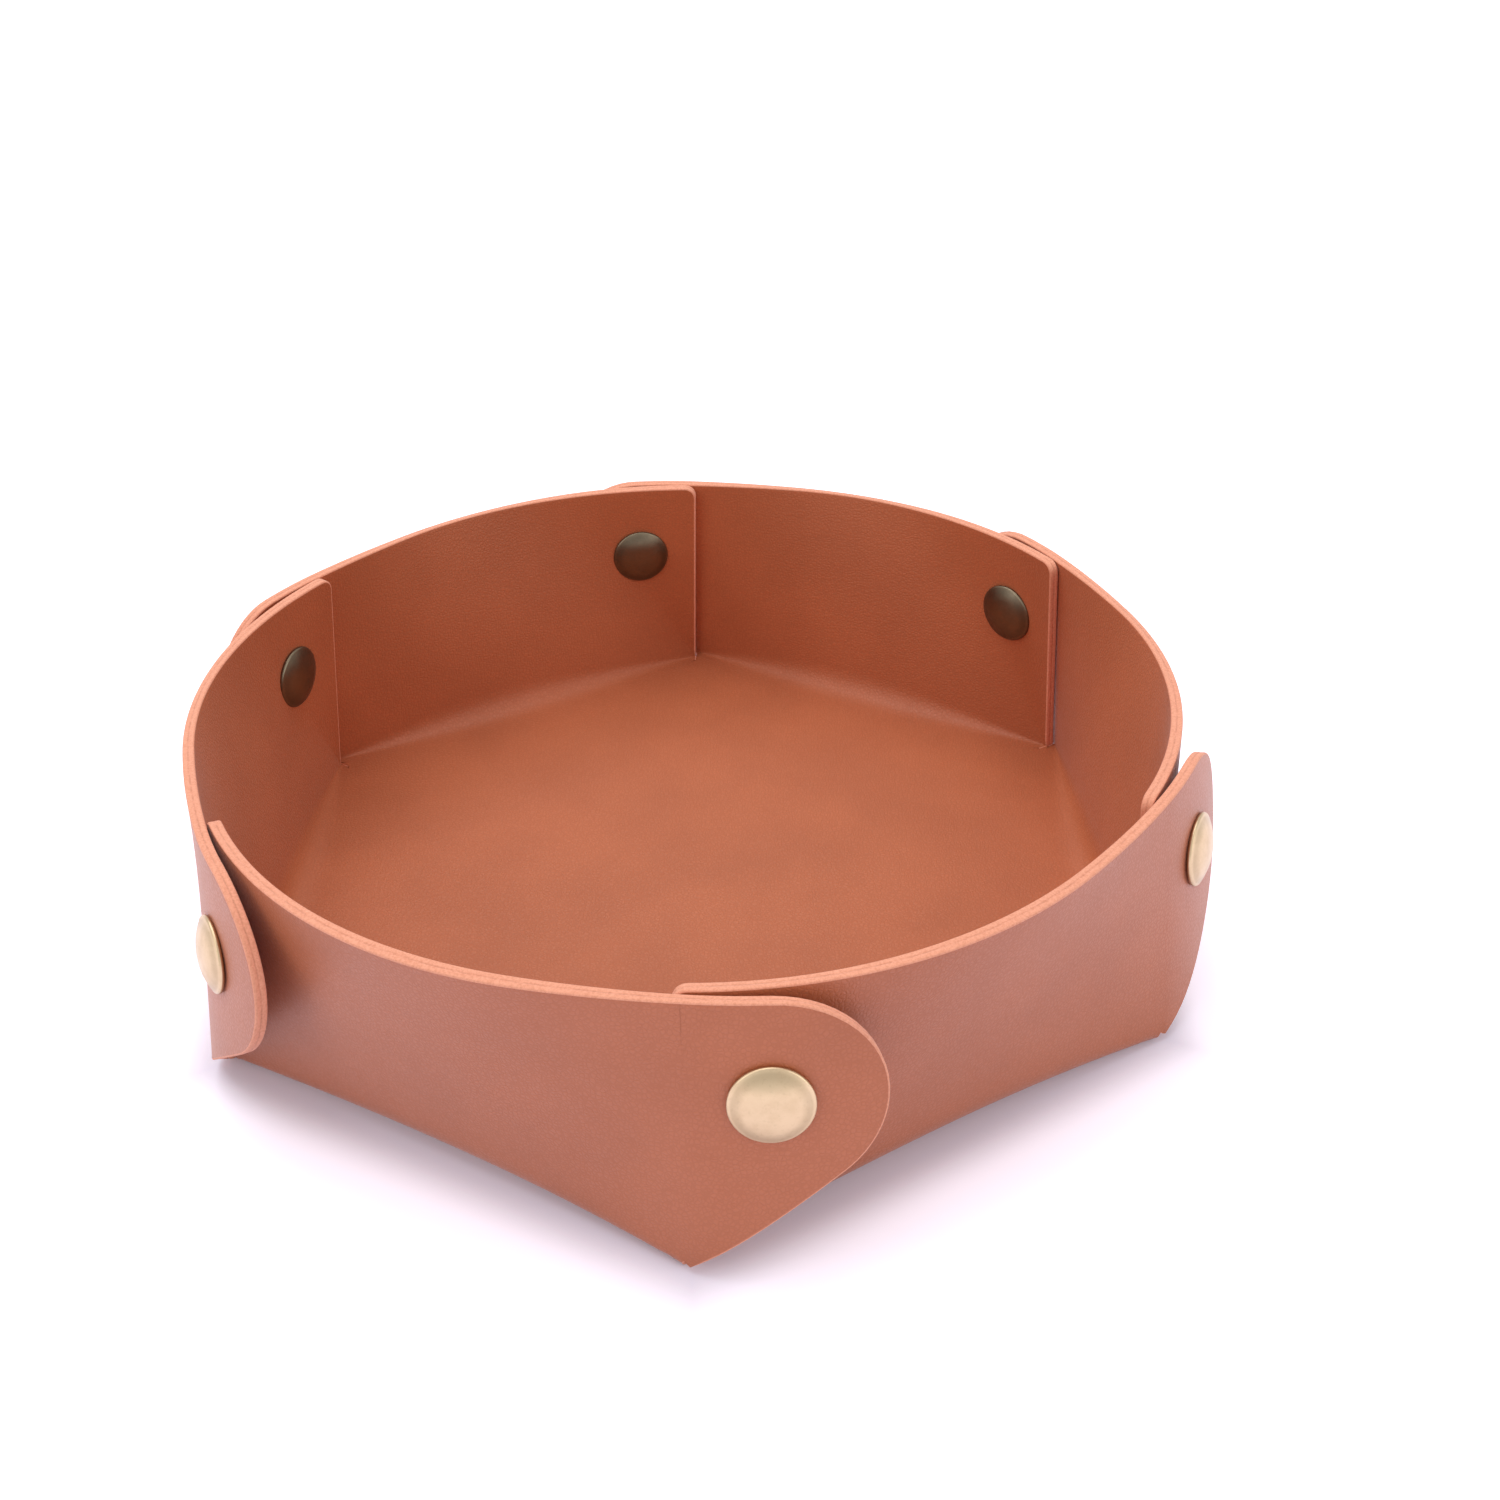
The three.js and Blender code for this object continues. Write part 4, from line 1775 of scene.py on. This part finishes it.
@dataclass(frozen=True)
class SnapMetals:
    """Finishes of the snap pieces.

    Attributes:
        outer_cap: Caps on the tabs.
        inner_cap: Caps inside the tray, in a darker copy of the brass that paints shade on them.
        dark: Sockets and studs.
        wire: Spring rings.
    """

    outer_cap: bpy.types.Material
    inner_cap: bpy.types.Material
    dark: bpy.types.Material
    wire: bpy.types.Material

    @classmethod
    def new(cls) -> "SnapMetals":
        """Make them, the inner caps in a darker copy of the brass that paints shade and dark reflections
        on them.

        Returns:
            The new finishes.
        """
        outer = AntiqueBrassFinish()
        # Inner caps: the same brass darkened, as painted shade and painted dark reflections for their
        # place inside the tray.
        inner = AntiqueBrassFinish(
            "painted_shade_antique_brass",
            bright=(0.20, 0.16, 0.11, 1.0),
            warm=(0.155, 0.125, 0.085, 1.0),
            patina_and_reflection=(0.075, 0.06, 0.042, 1.0),
        )
        finishes = (outer, inner, DarkSnapFinish(), SpringFinish())
        return cls(*[finish.material() for finish in finishes])


def aimed(made: bpy.types.Object, place: Vector, aim: Vector, roll: float = 0.0) -> None:
    """Put a camera or a lamp in its place, point it and link it to the scene.

    Args:
        made: The new object.
        place: Where it goes, in metres.
        aim: What it points at, in metres.
        roll: Radians that it leans to one side.
    """
    made.location = place
    made.rotation_mode = "QUATERNION"
    level = (aim - place).to_track_quat("-Z", "Y")
    made.rotation_quaternion = level @ Quaternion((0.0, 0.0, 1.0), roll)
    bpy.context.scene.collection.objects.link(made)


@dataclass(frozen=True)
class SoftLamp:
    """A square soft lamp.

    Attributes:
        name: Its name.
        place: Where it hangs, in metres.
        aim: What it points at, in metres.
        size: Its width in metres.
        power: Its power in watts.
    """

    name: str
    place: tuple
    aim: tuple
    size: float
    power: float

    def build(self) -> None:
        """Hang the lamp."""
        light = bpy.data.lights.new(self.name, "AREA")
        light.shape = "SQUARE"
        light.size = self.size
        light.energy = self.power
        aimed(bpy.data.objects.new(self.name, light), Vector(self.place), Vector(self.aim))


LAMPS = [
    SoftLamp("top_light", (-0.2, 0.25, 1.1), (0.0, 0.0, 0.0), 1.2, 9.0),
    SoftLamp("left_light", (-1.0, -0.7, 0.7), (0.0, 0.0, 0.02), 0.9, 3.0),
    SoftLamp("right_light", (1.0, -0.6, 0.6), (0.0, 0.0, 0.02), 0.9, 3.0),
]


@dataclass
class Studio:
    """Camera, soft light, white surroundings and the pale floor.

    Attributes:
        lens: Focal length in millimetres.
        sensor: Width of the camera's sensor in millimetres.
        nearest: Nearest distance that the camera sees, in metres.
        furthest: Furthest distance that it sees, in metres.
        camera_place: Camera in millimetres.
        camera_aim: What it looks at, in millimetres.
        turn: Degrees that the tray is turned from the camera's own axes.
        roll: Degrees that the camera leans to one side.
        floor_size: Width of the floor in metres.
        floor_drop: How far the floor is under the tray, in millimetres.
        floor_colour: Colour of the floor.
        glow_colour: Colour of the painted light, seen only by the camera, that makes the floor white where
            it is seen.
        floor_glow: Strength of it under the tray.
        edge_glow: Painted light added past the base edges, so that the floor stays darker close to the
            tray as a painted shadow edge.
        edge_from: Where that starts, in metres from the axis.
        edge_to: Where it is whole.
        outer_glow: Painted light added further out, which paints the outer falloff of that shadow.
        outer_from: Where that starts, in metres from the axis.
        outer_to: Where it is whole.
        far_from: Where the floor starts to go over into the white surroundings, in metres from the axis.
        far_to: Where it is quite white.
        sky: Strength of the light from all round.
    """

    lens: float = 38.34
    sensor: float = 36.0
    nearest: float = 0.01
    furthest: float = 50.0
    camera_place: tuple = (11.26, -249.27, 189.43)
    camera_aim: tuple = (11.26, 49.08, 0.0)
    turn: float = -0.986
    roll: float = -0.93
    floor_size: float = 8.0
    floor_drop: float = 0.05
    floor_colour: tuple = (0.80, 0.785, 0.92, 1.0)
    glow_colour: tuple = (1.0, 0.90, 0.95, 1.0)
    floor_glow: float = 0.08
    edge_glow: float = 0.40
    edge_from: float = 0.080
    edge_to: float = 0.0895
    outer_glow: float = 0.25
    outer_from: float = 0.088
    outer_to: float = 0.11
    far_from: float = 0.25
    far_to: float = 0.7
    sky: float = 0.5

    def camera(self) -> None:
        """Set the camera where the photographer stood."""
        turn = Matrix.Rotation(math.radians(self.turn), 3, "Z")
        place = turn @ Vector(self.camera_place) * MM
        aim = turn @ Vector(self.camera_aim) * MM
        lens = bpy.data.cameras.new("camera")
        lens.sensor_width = self.sensor
        lens.lens = self.lens
        lens.clip_start = self.nearest
        lens.clip_end = self.furthest
        made = bpy.data.objects.new("camera", lens)
        aimed(made, place, aim, math.radians(self.roll))
        bpy.context.scene.camera = made

    @staticmethod
    def seen(sheet: NodeSheet) -> Shade:
        """Whether the camera sees a surface, directly, in a mirror or through glass.

        Args:
            sheet: Where the nodes go.

        Returns:
            1 where it is seen and 0 where it only lights.
        """
        path = sheet.make("ShaderNodeLightPath", {}, {})
        names = ("Is Camera Ray", "Is Glossy Ray", "Is Transmission Ray")
        first, second, third = (path.out(name) for name in names)
        return sheet.eased(first + second + third, 0.0, 1.0)

    def surroundings(self) -> None:
        """White where it is seen, and a softer light where it only lights."""
        world = bpy.data.worlds.new("white_room")
        world.use_nodes = True
        bpy.context.scene.world = world
        sheet = NodeSheet(world.node_tree)
        strength = self.sky + (1.0 - self.sky) * self.seen(sheet)
        white = {"Color": (1.0, 1.0, 1.0, 1.0), "Strength": strength}
        background = sheet.make("ShaderNodeBackground", {}, white).out(0)
        sheet.make("ShaderNodeOutputWorld", {}, {"Surface": background})

    @staticmethod
    def beyond_edges(sheet: NodeSheet) -> Shade:
        """Distance from the tray's axis, measured square to the nearest base edge.

        Args:
            sheet: Where the nodes go.

        Returns:
            The distance in metres.
        """
        place = sheet.place()
        furthest: Feed = 0.0
        for number in range(SIDES // 2):
            square = tuple(polar(2 * HALF * number, 1.0, 0.0))
            reach = sheet.make("ShaderNodeVectorMath", {"operation": "DOT_PRODUCT"}, {0: place, 1: square})
            away = abs(reach.out("Value"))
            furthest = away.combine("MAXIMUM", away, furthest)
        return furthest

    def floor(self) -> bpy.types.Object:
        """Make the pale floor that keeps the shadow, with a painted light that grows away from the base
        edges and paints the falloff of the shadow.

        Returns:
            The floor.
        """
        material, sheet = new_sheet("pale_floor")
        matte = sheet.make("ShaderNodeBsdfDiffuse", {}, {"Color": self.floor_colour}).out(0)
        # Painted light seen only by the camera, weaker close to the base edges: it paints the falloff of
        # the tray's shadow on the floor.
        from_tray = self.beyond_edges(sheet)
        near = self.edge_glow * sheet.eased(from_tray, self.edge_from, self.edge_to)
        outer = self.outer_glow * sheet.eased(from_tray, self.outer_from, self.outer_to)
        far = sheet.eased(from_tray, self.far_from, self.far_to)
        strength = (self.floor_glow + near + outer + far) * self.seen(sheet)
        glow = {"Color": self.glow_colour, "Strength": strength}
        glowing = sheet.make("ShaderNodeEmission", {}, glow).out(0)
        both = sheet.make("ShaderNodeAddShader", {}, {0: matte, 1: glowing}).out(0)
        sheet.make("ShaderNodeOutputMaterial", {}, {"Surface": both})
        book = MeshBook()
        half = self.floor_size / 2 / MM
        corners = [(-half, -half), (half, -half), (half, half), (-half, half)]
        book.face(*[book.point(np.array([x, y, -self.floor_drop])) for x, y in corners])
        made = book.piece("pale_floor", [material])
        return made

    def build(self) -> None:
        """Set the whole studio."""
        bpy.context.scene.view_settings.view_transform = "Standard"
        self.camera()
        self.surroundings()
        self.floor()
        for lamp in LAMPS:
            lamp.build()


def main() -> None:
    """Build the tray piece by piece, then the studio."""
    logging.basicConfig(level=logging.INFO, format="%(message)s")
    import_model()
    Studio().build()
    leather = [LeatherFinish().material(), CutEdgeFinish().material()]
    metals = SnapMetals.new()
    numbers = range(1, SIDES + 1)
    sides = [SidePanel(number) for number in numbers]
    pieces = [FloorPanel(sides).build(leather)]
    pieces += [side.build(leather) for side in sides]
    pieces += [CornerTab(number).build(leather) for number in numbers]
    for number in numbers:
        pieces += PressSnap(number).build(metals)
    for piece in pieces:
        LOG.info("%s: %d faces", piece.name, len(piece.data.polygons))


if __name__ == "__main__":
    main()
